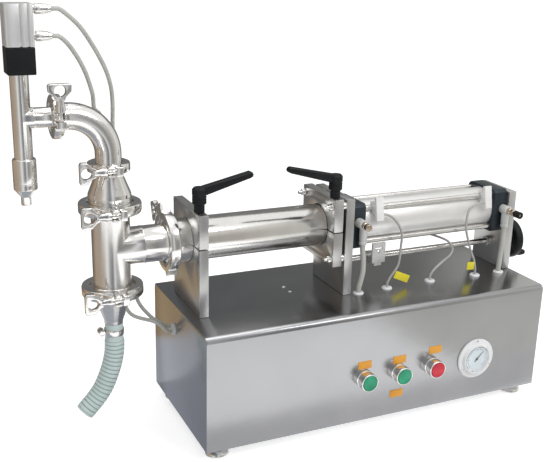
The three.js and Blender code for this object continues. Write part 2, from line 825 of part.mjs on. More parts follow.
piece("crank_knob", turned("x", [
  [wheelFace + gap, crankPin + gap],
  [wheelFace + gap, crankRadius - overrun],
  [wheelFace + crankLength / 2, crankRadius],
  [pinEnd - overrun, crankRadius - overrun],
  [pinEnd, crankPin + gap],
], crankCentre, tinySides), blackPlastic);

const carrierHalf = 8;
const carrierRing = 10;
const carrierPlateHalf = 12.5;
const carrierPlateSheet = 3.5;
const carrierPlateFront = lineSetback - 36.7;
const carrierPlateTall = 35;
const carrierArm = 5;
const carrierHole = 2.6;
const carrierSlotHalf = 7;
const carrierPlateTop = lineHeight - tieRodOffset - gap - carrierPlateSheet;
const carrierPlateFoot = carrierPlateTop - carrierPlateTall;
const slotHeight = carrierPlateTop - carrierPlateTall / 4;
const carrier = cut(
  joined(
    bar("x", carrierRing, [carrierPlace - carrierHalf, carrierPlace + carrierHalf], screwCentre,
      smallSides),
    block([carrierPlace - carrierHalf + overrun, carrierPlace + carrierHalf - overrun],
      [carrierPlateFront + overrun, lineSetback], [screwHeight - carrierArm, screwHeight + carrierArm]),
    block([carrierPlace - carrierPlateHalf, carrierPlace + carrierPlateHalf],
      [carrierPlateFront, carrierPlateFront + carrierPlateSheet], [carrierPlateFoot, carrierPlateTop]),
  ),
  bar("x", screwRadius + gap, [carrierPlace - carrierRing, carrierPlace + carrierRing], screwCentre,
    smallSides),
  bar("y", carrierHole, [carrierPlateFront - overrun, carrierPlateFront + 2 * carrierPlateSheet],
    [carrierPlace, 0, carrierPlateFoot + carrierPlateTall / 2 + carrierHole], tinySides),
  block([carrierPlace - carrierSlotHalf, carrierPlace + carrierSlotHalf],
    [carrierPlateFront - overrun, carrierPlateFront + 2 * carrierPlateSheet],
    [slotHeight - carrierHole, slotHeight]),
);
piece("stroke_carrier", carrier, aluminium);

// Tee between the filling cylinder, the outlet side and the suction side
const teeCentre = [teePlace, lineSetback, 0];
const teeBore = teeRadius - pipeWall;
const seatBore = 18;
const seatThickness = 3;
const teeBody = joined(
  ferruledBar("z", largeFerrule, upperJoint, -1, teeRadius, lineHeight, teeCentre, bigSides),
  ferruledBar("z", largeFerrule, lowerJoint, 1, teeRadius, lineHeight, teeCentre, bigSides),
  ferruledBar("x", largeFerrule, branchJoint, -1, teeRadius, teePlace, lineCentre, bigSides),
);
const tee = cut(teeBody,
  bar("z", teeBore, [lowerJoint - overrun, upperJoint - seatThickness], teeCentre, bigSides),
  bar("z", seatBore, [lineHeight, upperJoint + overrun], teeCentre, bigSides),
  bar("x", teeBore, [teePlace, branchJoint + overrun], lineCentre, bigSides),
);
piece("tee", tee, polishedSteel);

// Reducer cone above the tee
const coneFootShare = 0.35;
const reducerStart = upperJoint + sealHalf;
const coneRadius = 31.5;
const coneFoot = upperJoint + reducerLength * coneFootShare;
const coneTop = reducerJoint - reducerLength * 0.16;
const reducer = cut(
  turned("z", [
    ...ferrulePoints(largeFerrule, upperJoint, 1, coneRadius).reverse(),
    [coneFoot, coneRadius],
    [coneTop, elbowRadius],
    ...ferrulePoints(smallFerrule, reducerJoint, -1, elbowRadius),
  ], teeCentre, bigSides),
  turned("z", [
    [reducerStart - overrun, 0],
    [reducerStart - overrun, coneRadius - pipeWall],
    [coneFoot, coneRadius - pipeWall],
    [coneTop, elbowRadius - pipeWall],
    [reducerJoint + overrun, elbowRadius - pipeWall],
    [reducerJoint + overrun, 0],
  ], teeCentre, bigSides),
);
piece("reducer", reducer, polishedSteel);

// Elbow from the reducer to the nozzle arm
class QuarterBend extends THREE.Curve {
  getPoint(t, target = new THREE.Vector3()) {
    const turn = t * Math.PI / 2;
    return target.set(teePlace - elbowBend + elbowBend * Math.cos(turn), lineSetback,
      armHeight - elbowBend + elbowBend * Math.sin(turn));
  }
}

function roundSection(radius, sides) {
  const section = new THREE.Shape();
  for (let i = 0; i < sides; i += 1) {
    const turn = (i / sides) * 2 * Math.PI;
    const [a, b] = [radius * Math.cos(turn), radius * Math.sin(turn)];
    if (i === 0) section.moveTo(a, b);
    else section.lineTo(a, b);
  }
  section.closePath();
  return section;
}

function alongPath(path, radius, sides, steps) {
  return solid(new THREE.ExtrudeGeometry(roundSection(radius, sides), {
    steps, extrudePath: path, bevelEnabled: false,
  }));
}

const bendSteps = 8;
const armCentre = [0, lineSetback, armHeight];
const elbowTurnStart = armHeight - elbowBend;
const elbowTurnEnd = teePlace - elbowBend;
function elbowCore(radius) {
  return alongPath(new QuarterBend(), radius, middleSides, bendSteps);
}
const elbow = cut(
  joined(
    elbowCore(elbowRadius),
    ferruledBar("z", smallFerrule, reducerJoint, 1, elbowRadius, elbowTurnStart + gap, teeCentre,
      middleSides),
    ferruledBar("x", smallFerrule, armJoint, 1, elbowRadius, elbowTurnEnd + gap, armCentre,
      middleSides),
  ),
  elbowCore(elbowRadius - pipeWall),
  bar("z", elbowRadius - pipeWall, [reducerJoint - overrun, elbowTurnStart + gap], teeCentre,
    middleSides),
  bar("x", elbowRadius - pipeWall, [armJoint - overrun, elbowTurnEnd + gap], armCentre,
    middleSides),
);
piece("elbow", elbow, polishedSteel);

// Nozzle body: upright tube with its side arm
const nozzleCentre = [nozzlePlace, lineSetback, 0];
const nozzleBody = cut(
  joined(
    bar("z", nozzleRadius, [tubeEnd, adapterFoot - gap], nozzleCentre, middleSides),
    ferruledBar("x", smallFerrule, armJoint, -1, armRadius, nozzlePlace, armCentre, middleSides),
  ),
  bar("z", nozzleRadius - pipeWall, [tubeEnd - overrun, adapterFoot + overrun], nozzleCentre,
    middleSides),
  bar("x", armRadius - pipeWall, [nozzlePlace, armJoint + overrun], armCentre, middleSides),
);
piece("nozzle_body", nozzleBody, polishedSteel);

// Nozzle tip: screwed collar, valve seat and outlet
const tipTop = tubeEnd + 22;
const tipFoot = tipTop - tipLength;
const outletLength = 12.5;
const tipCone = 11;
const tipBand = 8;
const tipGroove = 0.8;
const seatHeight = tipFoot + outletLength + tipCone / 2;
const chamberTop = tubeEnd - gap;
const tipShape = turned("z", [
  [tipFoot, outletBore],
  [tipFoot, outletRadius - tipGroove],
  [tipFoot + tipGroove, outletRadius],
  [tipFoot + outletLength, outletRadius],
  [tipFoot + outletLength + tipCone, tipRadius],
  [tipFoot + outletLength + tipCone + tipBand, tipRadius],
  [tipFoot + outletLength + tipCone + tipBand, tipRadius - tipGroove],
  [tipFoot + outletLength + tipCone + tipBand + tipGroove, tipRadius - tipGroove],
  [tipFoot + outletLength + tipCone + tipBand + tipGroove, tipRadius],
  [tipTop - tipBand / 4, tipRadius],
  [tipTop, tipRadius - tipBand / 4],
  [tipTop, nozzleRadius + gap],
  [chamberTop, nozzleRadius + gap],
  [chamberTop, nozzleRadius - pipeWall],
  [seatHeight + tipCone, nozzleRadius - pipeWall],
  [seatHeight, outletBore],
], nozzleCentre, middleSides);
piece("nozzle_tip", tipShape, polishedSteel);

// Actuator on its black adapter, with the two push-in fittings
const guideDepth = 10;
const chamberRadius = 10;
const chamberStart = actuatorFoot + 5;
const chamberEnd = actuatorFoot + actuatorHeight - 9;
const grooveWidth = 3;
const grooveDepth = 2.2;
const grooveSpacing = 10;
const actuatorLimits = [-1, 1].map((side) => nozzlePlace + actuatorShift + side * actuatorSide / 2);
const actuatorDepth = [-1, 1].map((side) => lineSetback + side * actuatorSide / 2);
const adapter = cut(
  joined(
    block(actuatorLimits, actuatorDepth, [adapterFoot, adapterFoot + adapterHeight]),
    bar("z", nozzleRadius - pipeWall - gap, [adapterFoot - guideDepth, adapterFoot + overrun],
      nozzleCentre, middleSides),
  ),
  bar("z", stemRadius + gap, [adapterFoot - guideDepth - overrun, adapterFoot + adapterHeight + overrun],
    nozzleCentre, tinySides),
);
piece("nozzle_adapter", adapter, blackPlastic);

const grooves = [0, 1].flatMap((i) => actuatorDepth.map((y) => {
  const x = nozzlePlace + grooveWidth + i * grooveSpacing;
  return block([x - grooveWidth / 2, x + grooveWidth / 2], [y - grooveDepth, y + grooveDepth],
    [actuatorFoot - overrun, actuatorFoot + actuatorHeight + overrun]);
}));
const fittingRise = [12.5, 48];
const fittingStart = actuatorLimits[1];
const fittingHeights = fittingRise.map((rise) => actuatorFoot + rise);
const fittingReach = 26;
const fittingNeck = 5;
const fittingBody = 6.8;
function pushIn(z) {
  return turned("x", [
    [fittingStart - overrun, 0],
    [fittingStart - overrun, fittingNeck],
    [fittingStart + fittingNeck, fittingNeck],
    [fittingStart + fittingNeck, fittingBody],
    [fittingStart + fittingReach - fittingNeck, fittingBody],
    [fittingStart + fittingReach - fittingNeck, fittingNeck],
    [fittingStart + fittingReach, fittingNeck],
    [fittingStart + fittingReach, 0],
  ], [0, lineSetback, z], tinySides);
}
const actuator = joined(
  cut(
    block(actuatorLimits, actuatorDepth, [actuatorFoot, actuatorFoot + actuatorHeight]),
    bar("z", chamberRadius, [chamberStart, chamberEnd], nozzleCentre, middleSides),
    bar("z", stemRadius + gap, [actuatorFoot - overrun, chamberStart + overrun], nozzleCentre,
      tinySides),
    ...grooves,
  ),
  ...fittingHeights.map(pushIn),
);
piece("nozzle_actuator", actuator, aluminium);

// Valve stem: conical plug on the seat, rod and the actuator's small piston
const plugLength = 6;
const plugClear = 0.6;
const smallPistonLength = 8;
const smallPistonStart = chamberStart + overrun;
piece("nozzle_stem", turned("z", [
  [seatHeight + plugClear, 0],
  [seatHeight + plugClear, outletBore - plugClear],
  [seatHeight + plugClear + plugLength, stemRadius * 1.9],
  [seatHeight + plugClear + 2 * plugLength, stemRadius],
  [smallPistonStart, stemRadius],
  [smallPistonStart, chamberRadius - gap],
  [smallPistonStart + smallPistonLength, chamberRadius - gap],
  [smallPistonStart + smallPistonLength, 0],
], nozzleCentre, tinySides), polishedSteel);

// Hose spigot under the tee, with the suction valve's seat in its mouth
const spigotShoulder = lowerJoint - 55.5;
const spigotConeFoot = lowerJoint - 51.2;
const spigotConeTop = lowerJoint - 10.2;
const barbRadius = 11;
const barbBore = 8.5;
const barbLength = 32;
const shoulderRadius = 14.5;
const suctionSeat = 17;
const spigot = cut(
  turned("z", [
    [spigotShoulder - barbLength, 0],
    [spigotShoulder - barbLength, barbRadius],
    [spigotShoulder, barbRadius],
    [spigotShoulder, shoulderRadius],
    [spigotConeFoot, shoulderRadius],
    [spigotConeTop, teeRadius],
    ...ferrulePoints(largeFerrule, lowerJoint, -1, teeRadius),
  ], teeCentre, bigSides),
  turned("z", [
    [spigotShoulder - barbLength - overrun, 0],
    [spigotShoulder - barbLength - overrun, barbBore],
    [spigotConeFoot, barbBore],
    [spigotConeTop, suctionSeat],
    [lowerJoint, suctionSeat],
    [lowerJoint, 0],
  ], teeCentre, bigSides),
);
piece("hose_spigot", spigot, polishedSteel);

// Valve poppets: a disc on its seat and a guide stem below
const poppetDisc = 4;
const poppetStem = 4;
const poppetStemLength = 18;
function poppet(seat, seatRadius) {
  const disc = seatRadius + poppetStem;
  return turned("z", [
    [seat + gap - poppetStemLength, 0],
    [seat + gap - poppetStemLength, poppetStem],
    [seat + gap, poppetStem],
    [seat + gap, disc],
    [seat + gap + poppetDisc, disc - overrun],
    [seat + gap + poppetDisc + poppetStem, poppetStem],
    [seat + gap + poppetDisc + poppetStem, 0],
  ], teeCentre, smallSides);
}
piece("suction_poppet", poppet(lowerJoint, suctionSeat), polishedSteel);
piece("discharge_poppet", poppet(upperJoint, seatBore), polishedSteel);

// Hose clamp: band with its worm-screw housing
const bandHalf = 5;
const bandThickness = 1;
const bandRadius = hoseRadius - hoseRibDepth + gap;
const bandHeight = spigotShoulder - 14;
const wormStandoff = 5.8;
const wormRadius = 5.2;
const wormLength = 15;
const hoseClamp = cut(
  joined(
    bar("z", bandRadius + bandThickness, [bandHeight - bandHalf, bandHeight + bandHalf], teeCentre,
      middleSides),
    turned("y", [[-wormLength, 0], [-wormLength, wormRadius], [0, wormRadius], [0, 0]],
      [teePlace - bandRadius - wormStandoff, lineSetback + wormLength / 2, bandHeight + overrun],
      tinySides),
  ),
  bar("z", bandRadius, [bandHeight - 2 * bandHalf, bandHeight + 2 * bandHalf], teeCentre,
    middleSides),
);
piece("hose_clamp", hoseClamp, polishedSteel);

// Quick clamps: grooved ring, hinge, two ears and the swing bolt
function clampRing(size) {
  const slope = (radius) => sealHalf + ferruleRim + (size.rim - radius) * ferruleSlopeShare + gap;
  const edge = size.half / 5;
  const ring = turned("z", [
    [-size.half, size.lip],
    [-size.half, size.ring - edge],
    [-size.half + edge, size.ring],
    [size.half - edge, size.ring],
    [size.half, size.ring - edge],
    [size.half, size.lip],
    [slope(size.lip), size.lip],
    [slope(size.rim), size.rim + gap],
    [-slope(size.rim), size.rim + gap],
    [-slope(size.lip), size.lip],
  ], [0, 0, 0], bigSides);
  const earReach = size.ring + size.ear;
  const boltLine = size.ring + size.ear / 2;
  const ears = block([-earWidth, earWidth], [-earReach, -size.rim - gap], [-size.half, size.half]);
  const slit = block([-earSlit, earSlit], [-earReach - overrun, -size.lip + overrun],
    [-size.half - overrun, size.half + overrun]);
  const boltWay = block([-earWidth - overrun, -earSlit], [-earReach - overrun, -boltLine + size.bolt],
    [-size.bolt - gap, size.bolt + gap]);
  const hinge = block([-hingeHalf, hingeHalf], [size.rim + gap, size.ring + hingeReach],
    [-size.half, size.half]);
  const pin = bar("z", hingePin, [-size.half - overrun, size.half + overrun],
    [0, size.ring + hingeReach - hingePin, 0], tinySides);
  const bolt = bar("x", size.bolt - gap, [-nutReach, earSlit + overrun], [0, -boltLine, 0], tinySides);
  return joined(cut(joined(ring, ears, hinge), slit, boltWay), pin, bolt);
}

// Wing nut: hub on the bolt and a looped wing beyond it
const earWidth = 11;
const earSlit = 1.2;
const hingeHalf = 7;
const hingeReach = 6;
const hingePin = 3;
const nutStart = earWidth + gap;
const nutHub = 7;
const wingStart = 29;
const wingHalf = 16;
const wingBase = 9;
const wingThickness = 4.5;
const nutReach = wingStart + 4;
function wingNut(size, nutTurn) {
  const wingEnd = size.wing;
  const loop = plateXZ([
    [-wingStart, -nutHub],
    [-wingStart - wingBase, -wingHalf],
    [-wingEnd + wingBase / 2, -wingHalf],
    [-wingEnd, -wingHalf + wingBase / 2],
    [-wingEnd, wingHalf - wingBase / 2],
    [-wingEnd + wingBase / 2, wingHalf],
    [-wingStart - wingBase, wingHalf],
    [-wingStart, nutHub],
  ].reverse(), [-wingThickness, wingThickness], overrun);
  const window = bar("y", wingBase - overrun, [-wingThickness - overrun, wingThickness + overrun],
    [-(wingStart + wingEnd) / 2 - overrun, 0, 0], tinySides);
  const hub = turned("x", [
    [-wingStart - overrun, 0],
    [-wingStart - overrun, nutHub],
    [-nutStart - overrun, nutHub],
    [-nutStart, nutHub - overrun],
    [-nutStart, 0],
  ], [0, 0, 0], tinySides);
  const bore = bar("x", size.bolt, [-nutReach - overrun, -nutStart + overrun], [0, 0, 0], tinySides);
  return cut(joined(loop, hub), window, bore).rotate([nutTurn, 0, 0])
    .translate([0, -size.ring - size.ear / 2, 0]);
}

// Each clamp is made round Z and turned onto its own joint, then leaned about the line
const flat = [0, 0, 0];
const cylinderClampLean = 22;
const clamps = [
  { name: "reducer_clamp", size: largeFerrule, at: [teePlace, lineSetback, upperJoint], turn: flat },
  { name: "suction_clamp", size: largeFerrule, at: [teePlace, lineSetback, lowerJoint], turn: flat },
  { name: "elbow_clamp", size: smallFerrule, at: [teePlace, lineSetback, reducerJoint], turn: flat },
  { name: "cylinder_clamp", size: largeFerrule, at: [branchJoint, lineSetback, lineHeight],
    turn: [-90, 0, -90], lean: [-cylinderClampLean, 0, 0], nutTurn: 90 },
  { name: "arm_clamp", size: smallFerrule, at: [armJoint, lineSetback, armHeight], turn: [0, 90, 0] },
];
for (const { name, size, at, turn, lean, nutTurn } of clamps) {
  const placed = (body) => body.rotate(turn).rotate(lean ?? flat).translate(at);
  piece(name, placed(clampRing(size)), polishedSteel);
  piece(name.replace("clamp", "wing_nut"), placed(wingNut(size, nutTurn ?? 0)), polishedSteel);
}

// Suction hose: ribbed outside, smooth bore, one straight diameter at each end
function fromPlace([x, y, z], steps) {
  return steps.map(([dx, dy, dz]) => [x + dx, y + dy, z + dz]);
}
const hoseRoute = fromPlace([teePlace, lineSetback, spigotShoulder], [
  [0, 0, -gap], [0, 0, -16.2], [0, 0, -34], [-0.8, 0, -47.8], [-3.8, 0, -63.6],
  [-10.8, 0, -85.4], [-21.5, 0, -108.1], [-33.9, 0, -124.8], [-42.3, 0, -133.7],
  [-50.2, 0, -142.1],
]);
function smoothPath(points) {
  return new THREE.CatmullRomCurve3(points.map((p) => new THREE.Vector3(...p)), false,
    "centripetal");
}

function ribbedHose() {
  const path = smoothPath(hoseRoute);
  const length = path.getLength();
  const straightShare = (2 * hoseRadius) / length;
  const rings = [{ t: 0, radius: hoseRadius - hoseRibDepth }];
  for (let i = 0; i < hoseRibs; i += 1) {
    const start = straightShare + ((1 - 2 * straightShare) * i) / hoseRibs;
    const half = (1 - 2 * straightShare) / hoseRibs / 2;
    rings.push({ t: start, radius: hoseRadius - hoseRibDepth });
    rings.push({ t: start + half, radius: hoseRadius });
  }
  rings.push({ t: 1 - straightShare, radius: hoseRadius - hoseRibDepth });
  rings.push({ t: 1, radius: hoseRadius - hoseRibDepth });
  const bores = [];
  const boreSteps = Math.ceil(hoseRibs / 5) + 2;
  for (let i = boreSteps; i >= 0; i -= 1) bores.push({ t: i / boreSteps, radius: hoseBore });
  const all = [...rings, ...bores];
  const points = [];
  const across = new THREE.Vector3(0, 1, 0);
  for (const { t, radius } of all) {
    const centre = path.getPointAt(t);
    const side = new THREE.Vector3().crossVectors(path.getTangentAt(t), across).normalize();
    for (let k = 0; k < cordSides; k += 1) {
      const turn = ((k + 0.5) / cordSides) * 2 * Math.PI;
      points.push(centre.clone().addScaledVector(side, radius * Math.cos(turn))
        .addScaledVector(across, radius * Math.sin(turn)));
    }
  }
  const faces = [];
  for (let r = 0; r < all.length; r += 1) {
    for (let k = 0; k < cordSides; k += 1) {
      const a = r * cordSides + k;
      const b = r * cordSides + ((k + 1) % cordSides);
      const next = ((r + 1) % all.length) * cordSides;
      const c = next + ((k + 1) % cordSides);
      const d = next + k;
      faces.push(a, b, c, a, c, d);
    }
  }
  const shape = new THREE.BufferGeometry().setFromPoints(points);
  shape.setIndex(faces);
  return solid(shape);
}
piece("suction_hose", ribbedHose(), hosePlastic, cords);

// Free tubes and cables
function cord(name, route, radius, material) {
  const path = smoothPath(route);
  const steps = Math.max(4, Math.round(path.getLength() / (radius * 6)));
  piece(name, alongPath(path, radius, cordSides, steps), material, cords);
}

const tubeFoot = tableTop + grommetHeight + gap;
const tubeLine = (banjoBack + banjoFront) / 2;
const fittingEnd = fittingStart + fittingReach + gap;
const glandMouth = -glandLength - gap - gap;
function grommetMouth({ x, y }) {
  return [x, y, tubeFoot];
}

const frontOutlet = [frontPortPlace + frontOutletShift, tubeLine, frontPortHeight - frontOutletDrop - gap];
cord("front_port_tube", [
  ...fromPlace(frontOutlet, [[0, 0, 0], [0.3, 0, -8], [1.5, -2, -26]]),
  ...fromPlace(grommetMouth(grommets.frontTube), [[7, 1.6, 32], [2.6, 0.4, 15], [0, 0, 6], [0, 0, 0]]),
], portTubeRadius, clearPlastic);
const rearOutlet = [rearPortPlace, tubeLine, rearPortHeight - rearOutletDrop - gap];
cord("rear_port_tube", [
  ...fromPlace(rearOutlet, [[0, 0, 0], [0, 0, -10], [-1.5, -2, -30]]),
  ...fromPlace(grommetMouth(grommets.rearTube), [[3, 2.4, 26], [0.4, 0, 12], [0, 0, 6], [0, 0, 0]]),
], portTubeRadius, clearPlastic);
cord("upper_air_tube", [
  ...fromPlace([fittingEnd, lineSetback, fittingHeights[1]], [
    [0, 0, 0], [10, 0, 0], [20.8, 2, -7.3], [38.5, 5.5, -23.8], [55.2, 10.5, -47.7],
    [69, 17.5, -70.6], [79.3, 25.5, -91.1], [86.7, 34, -113.6], [90.1, 42, -137.1],
    [91, 49, -168.6], [92, 55, -203.1], [93.4, 59, -237.6], [95.3, 60, -277.1],
    [98.3, 59, -316.7], [103.2, 57, -356.3],
  ]),
  ...fromPlace([0, glandPlace.y, glandPlace.z], [
    [-62, 37, 99], [-56, 29, 66], [-49.5, 21.5, 42], [-39, 14.5, 27], [-30, 9.4, 17.6],
    [-21.3, 6, 12], [-13.6, 4.6, 6.2], [-10.2, 4.3, 4.4], [glandMouth, 4.2, 4],
  ]),
], airTubeRadius, clearPlastic);
cord("lower_air_tube", [
  ...fromPlace([fittingEnd, lineSetback, fittingHeights[0]], [
    [0, 0, 0], [8, 0.2, -0.4], [20, 2.4, -10.2], [33.5, 7.4, -28.8], [43.8, 12.4, -47.6],
    [51.6, 18.4, -67], [57.6, 25.4, -85.8], [61.3, 33.4, -107.5], [68.8, 37, -114.3],
    [72.7, 47, -148.7], [75.6, 56, -178.2], [77.6, 63, -212.7], [78.5, 66, -247.2],
    [80.4, 66, -286.8], [84.3, 65, -326.4],
  ]),
  ...fromPlace([0, glandPlace.y, glandPlace.z], [
    [-80, 45, 84], [-74, 32, 50], [-65.4, 16.2, 29.4], [-52.4, 9.2, 22.9], [-42.1, 3.2, 20.8],
    [-31.2, -0.8, 17.1], [-20, -3, 8], [-13.6, -3.8, 0.4], [-10.2, -3.8, -1.4],
    [glandMouth, -3.8, -2],
  ]),
], airTubeRadius, clearPlastic);
cord("front_pickup_cable", [
  ...fromPlace([pickupPlaces.front, pickupFace, lineHeight], [
    [pickupWidth / 2 + gap, 1.4, 19], [12, 1.4, 18.6], [24, 0.6, 13], [36.9, -0.9, -1.5],
    [43.2, -2.4, -17], [41.8, -3.9, -40],
  ]),
  ...fromPlace(grommetMouth(grommets.frontCable), [
    [19.5, 0.6, 34], [7, 0.2, 17], [0.8, 0, 7], [0, 0, 4], [0, 0, 0],
  ]),
], cableRadius, greyPlastic);
cord("rear_pickup_cable", [
  ...fromPlace([pickupPlaces.rear, pickupFace, lineHeight], [
    [-pickupWidth / 2 - gap, 1.4, 21], [-13, 1.4, 21], [-37, 0.6, 11.9], [-43.1, -1.4, -4.7],
    [-43.4, -2.9, -24.4], [-38.7, -4.4, -42.5],
  ]),
  ...fromPlace(grommetMouth(grommets.rearCable), [
    [-9.9, 2, 39.1], [-3.7, 1, 24.9], [0, 0, 8], [0, 0, 0],
  ]),
], cableRadius, greyPlastic);
cord("lower_pickup_cable", [
  ...fromPlace([pickupPlaces.lower, lineSetback + tieRodOffset, lineHeight], [
    [0, -pickupDrop - gap, -37.2], [0, -14.4, -37.2], [9, -23, -39.5], [22, -34, -43],
    [36, -46, -48],
    [41.5, -52.9, -52.4], [44.8, -58.9, -62.5], [36.8, -63.9, -71.3],
  ]),
  ...fromPlace(grommetMouth(grommets.lowerCable), [
    [26.3, 6.9, 24.4], [5.6, 1.4, 13], [0, 0, 6.7], [0, 0, 0],
  ]),
], cableRadius, greyPlastic);

// Origin: under the middle of the rigid pieces, on the standing surface
const bounds = new THREE.Box3().setFromObject(rigid);
const middle = bounds.getCenter(new THREE.Vector3());
filler.position.set(-middle.x, -middle.y, -bounds.min.z);
filler.updateMatrixWorld(true);

export default filler;
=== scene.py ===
import math

import bpy
from mathutils import Matrix, Vector


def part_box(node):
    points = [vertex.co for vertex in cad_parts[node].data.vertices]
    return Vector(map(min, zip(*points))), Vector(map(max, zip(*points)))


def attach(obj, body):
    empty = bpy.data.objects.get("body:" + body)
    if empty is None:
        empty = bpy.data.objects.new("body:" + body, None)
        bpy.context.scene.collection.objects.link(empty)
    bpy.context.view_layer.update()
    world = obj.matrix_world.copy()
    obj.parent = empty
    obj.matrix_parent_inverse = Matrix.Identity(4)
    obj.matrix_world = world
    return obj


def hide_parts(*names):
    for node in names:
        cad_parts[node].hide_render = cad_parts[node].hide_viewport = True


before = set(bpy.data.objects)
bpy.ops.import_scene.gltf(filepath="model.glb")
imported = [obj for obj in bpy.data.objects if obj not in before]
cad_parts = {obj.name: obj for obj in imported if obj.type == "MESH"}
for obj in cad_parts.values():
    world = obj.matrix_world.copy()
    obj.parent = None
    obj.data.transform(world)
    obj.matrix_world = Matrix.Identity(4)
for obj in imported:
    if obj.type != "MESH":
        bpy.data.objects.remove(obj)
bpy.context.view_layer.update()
bpy.context.scene.view_settings.view_transform = "Standard"

# Lengths are in millimetres from the cabinet's front left corner on the floor.
MM = 0.001
TRAY_MARGIN = 2.3
TRAY_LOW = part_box("base_tray")[0]
CORNER = Vector((TRAY_LOW.x - TRAY_MARGIN * MM, TRAY_LOW.y - TRAY_MARGIN * MM, 0))


def at(x, y, z):
    """The point in the row frame, in metres, of a place in millimetres."""
    return CORNER + Vector((x, y, z)) * MM


# Sizes
GAP = 0.3
OVERRUN = 5
CABINET_WIDTH = 252
CABINET_HEIGHT = 185
SHEET_WALL = 2
CABINET_BEND = 9
TRAY_HEIGHT = 18
FOOT_HEIGHT = 21
FOOT_RADIUS = 19
FOOT_INSET = 27
TABLE_TOP = FOOT_HEIGHT + CABINET_HEIGHT

LINE_SETBACK = 136.6
LINE_HEIGHT = TABLE_TOP + 108.2

POST_THICKNESS = 15
FRONT_POST_START = 17
FRONT_POST_WIDTH = 120.6
POST_RISE = 53
STUD_OFFSET = 39.4
STUD_RADIUS = 3.5
STUD_DROP = 25
CLAMP_SLIT = 1.5
REAR_BLOCK_START = 244.2
REAR_BLOCK_THICKNESS = 16
REAR_BLOCK_WIDTH = 112
REAR_BLOCK_RISE = 54.5
REAR_BLOCK_DROP = 56.5
BLOCK_TO_PLATE = 6
CYLINDER_PLATE_WIDTH = 109
REAR_PLATE_WIDTH = 87.5
REAR_PLATE_RISE = 34

FILL_RADIUS = 34
FILL_WALL = 2.5
CAP_SIDE = 76
FRONT_CAP_LENGTH = 30.5
REAR_CAP_LENGTH = 27
BARREL_LENGTH = 256.5
BARREL_RADIUS = 34.5
BARREL_WALL = 3
NOSE_BORE = 16.3
TIE_ROD_OFFSET = 28.25
TIE_ROD_RADIUS = 4.5

TEE_RADIUS = 28.5
ELBOW_RADIUS = 19
ARM_RADIUS = 14
NOZZLE_RADIUS = 12.7
PIPE_WALL = 2
TEE_SETBACK = 99.5
TEE_REACH = 64
BRANCH_REACH = 87
REDUCER_LENGTH = 60
ELBOW_BEND = 56.3
ELBOW_RISE = 19
ELBOW_RUN = 15.5
NOZZLE_ARM = 46.1
NOZZLE_DROP = 77.4
TIP_LENGTH = 67
TIP_RADIUS = 16.3
NOZZLE_RISE = 60
ADAPTER_HEIGHT = 36.5
ACTUATOR_HEIGHT = 55.5
ACTUATOR_SIDE = 37.5
ACTUATOR_SHIFT = 2.2
LARGE = {"rim": 38.75, "lip": 34.6, "ring": 46, "half": 8, "ear": 13, "bolt": 4.5,
         "wing": 54}
SMALL = {"rim": 25.25, "lip": 20.8, "ring": 31, "half": 7, "ear": 12, "bolt": 4,
         "wing": 50.5}

HOSE_RADIUS = 15.2
HOSE_RIB_DEPTH = 1.4
HOSE_GROOVE_DEPTH = 0.6
HOSE_SHOULDER_DEPTH = 0.15
HOSE_BORE = 12.3
HOSE_RIBS = 19
HOSE_PLAIN_START = 27
HOSE_PLAIN_END = 3
AIR_TUBE_RADIUS = 3
PORT_TUBE_RADIUS = 4.5
CABLE_RADIUS = 2

PANEL_HEIGHT = 95.8
FIRST_BUTTON = 265.4
BUTTON_PITCH = 63.45
BUTTON_RADIUS = 15
BUTTON_REACH = 21
LENS_RADIUS = 12.5
GAUGE_SPACING = 88.5
GAUGE_PLACE = FIRST_BUTTON + 2 * BUTTON_PITCH + GAUGE_SPACING
GAUGE_HEIGHT = 93
GAUGE_FLANGE_RADIUS = 35
GAUGE_DIAL_RADIUS = 26
GAUGE_FACE_RADIUS = 19.6
GAUGE_BODY_RADIUS = 24
GAUGE_DIAL = -4
MARK_RING_RADIUS = 18.8
NEEDLE_REACH = 16.5

SCREW_DROP = 67.6
SCREW_RADIUS = 5
WHEEL_RADIUS = 36

GROMMET_RADIUS = 9
GROMMET_HEIGHT = 3
GLAND = (LINE_SETBACK + 12.2, TABLE_TOP - 43.4)
GLAND_LENGTH = 5

REAR_BLOCK_END = REAR_BLOCK_START + REAR_BLOCK_THICKNESS
CYLINDER_PLATE_START = REAR_BLOCK_END + BLOCK_TO_PLATE
CYLINDER_PLATE_END = CYLINDER_PLATE_START + POST_THICKNESS
FRONT_CAP_START = CYLINDER_PLATE_END + GAP
FRONT_CAP_END = FRONT_CAP_START + FRONT_CAP_LENGTH
BARREL_START = FRONT_CAP_END + GAP
BARREL_END = BARREL_START + BARREL_LENGTH
REAR_CAP_START = BARREL_END + GAP
REAR_CAP_END = REAR_CAP_START + REAR_CAP_LENGTH
REAR_PLATE_START = REAR_CAP_END + GAP
REAR_PLATE_END = REAR_PLATE_START + POST_THICKNESS
CABINET_LENGTH = REAR_PLATE_END + 0.6
POST_TOP = LINE_HEIGHT + POST_RISE
POST_FOOT = TABLE_TOP + GAP
STUD_SETBACK = LINE_SETBACK - STUD_OFFSET
TEE_PLACE = -TEE_SETBACK
BRANCH_JOINT = TEE_PLACE + BRANCH_REACH
UPPER_JOINT = LINE_HEIGHT + TEE_REACH
LOWER_JOINT = LINE_HEIGHT - TEE_REACH
REDUCER_JOINT = UPPER_JOINT + REDUCER_LENGTH
ARM_HEIGHT = REDUCER_JOINT + ELBOW_RISE + ELBOW_BEND
ARM_JOINT = TEE_PLACE - ELBOW_BEND - ELBOW_RUN
NOZZLE_PLACE = ARM_JOINT - NOZZLE_ARM
ADAPTER_FOOT = ARM_HEIGHT + NOZZLE_RISE
ACTUATOR_FOOT = ADAPTER_FOOT + ADAPTER_HEIGHT + GAP
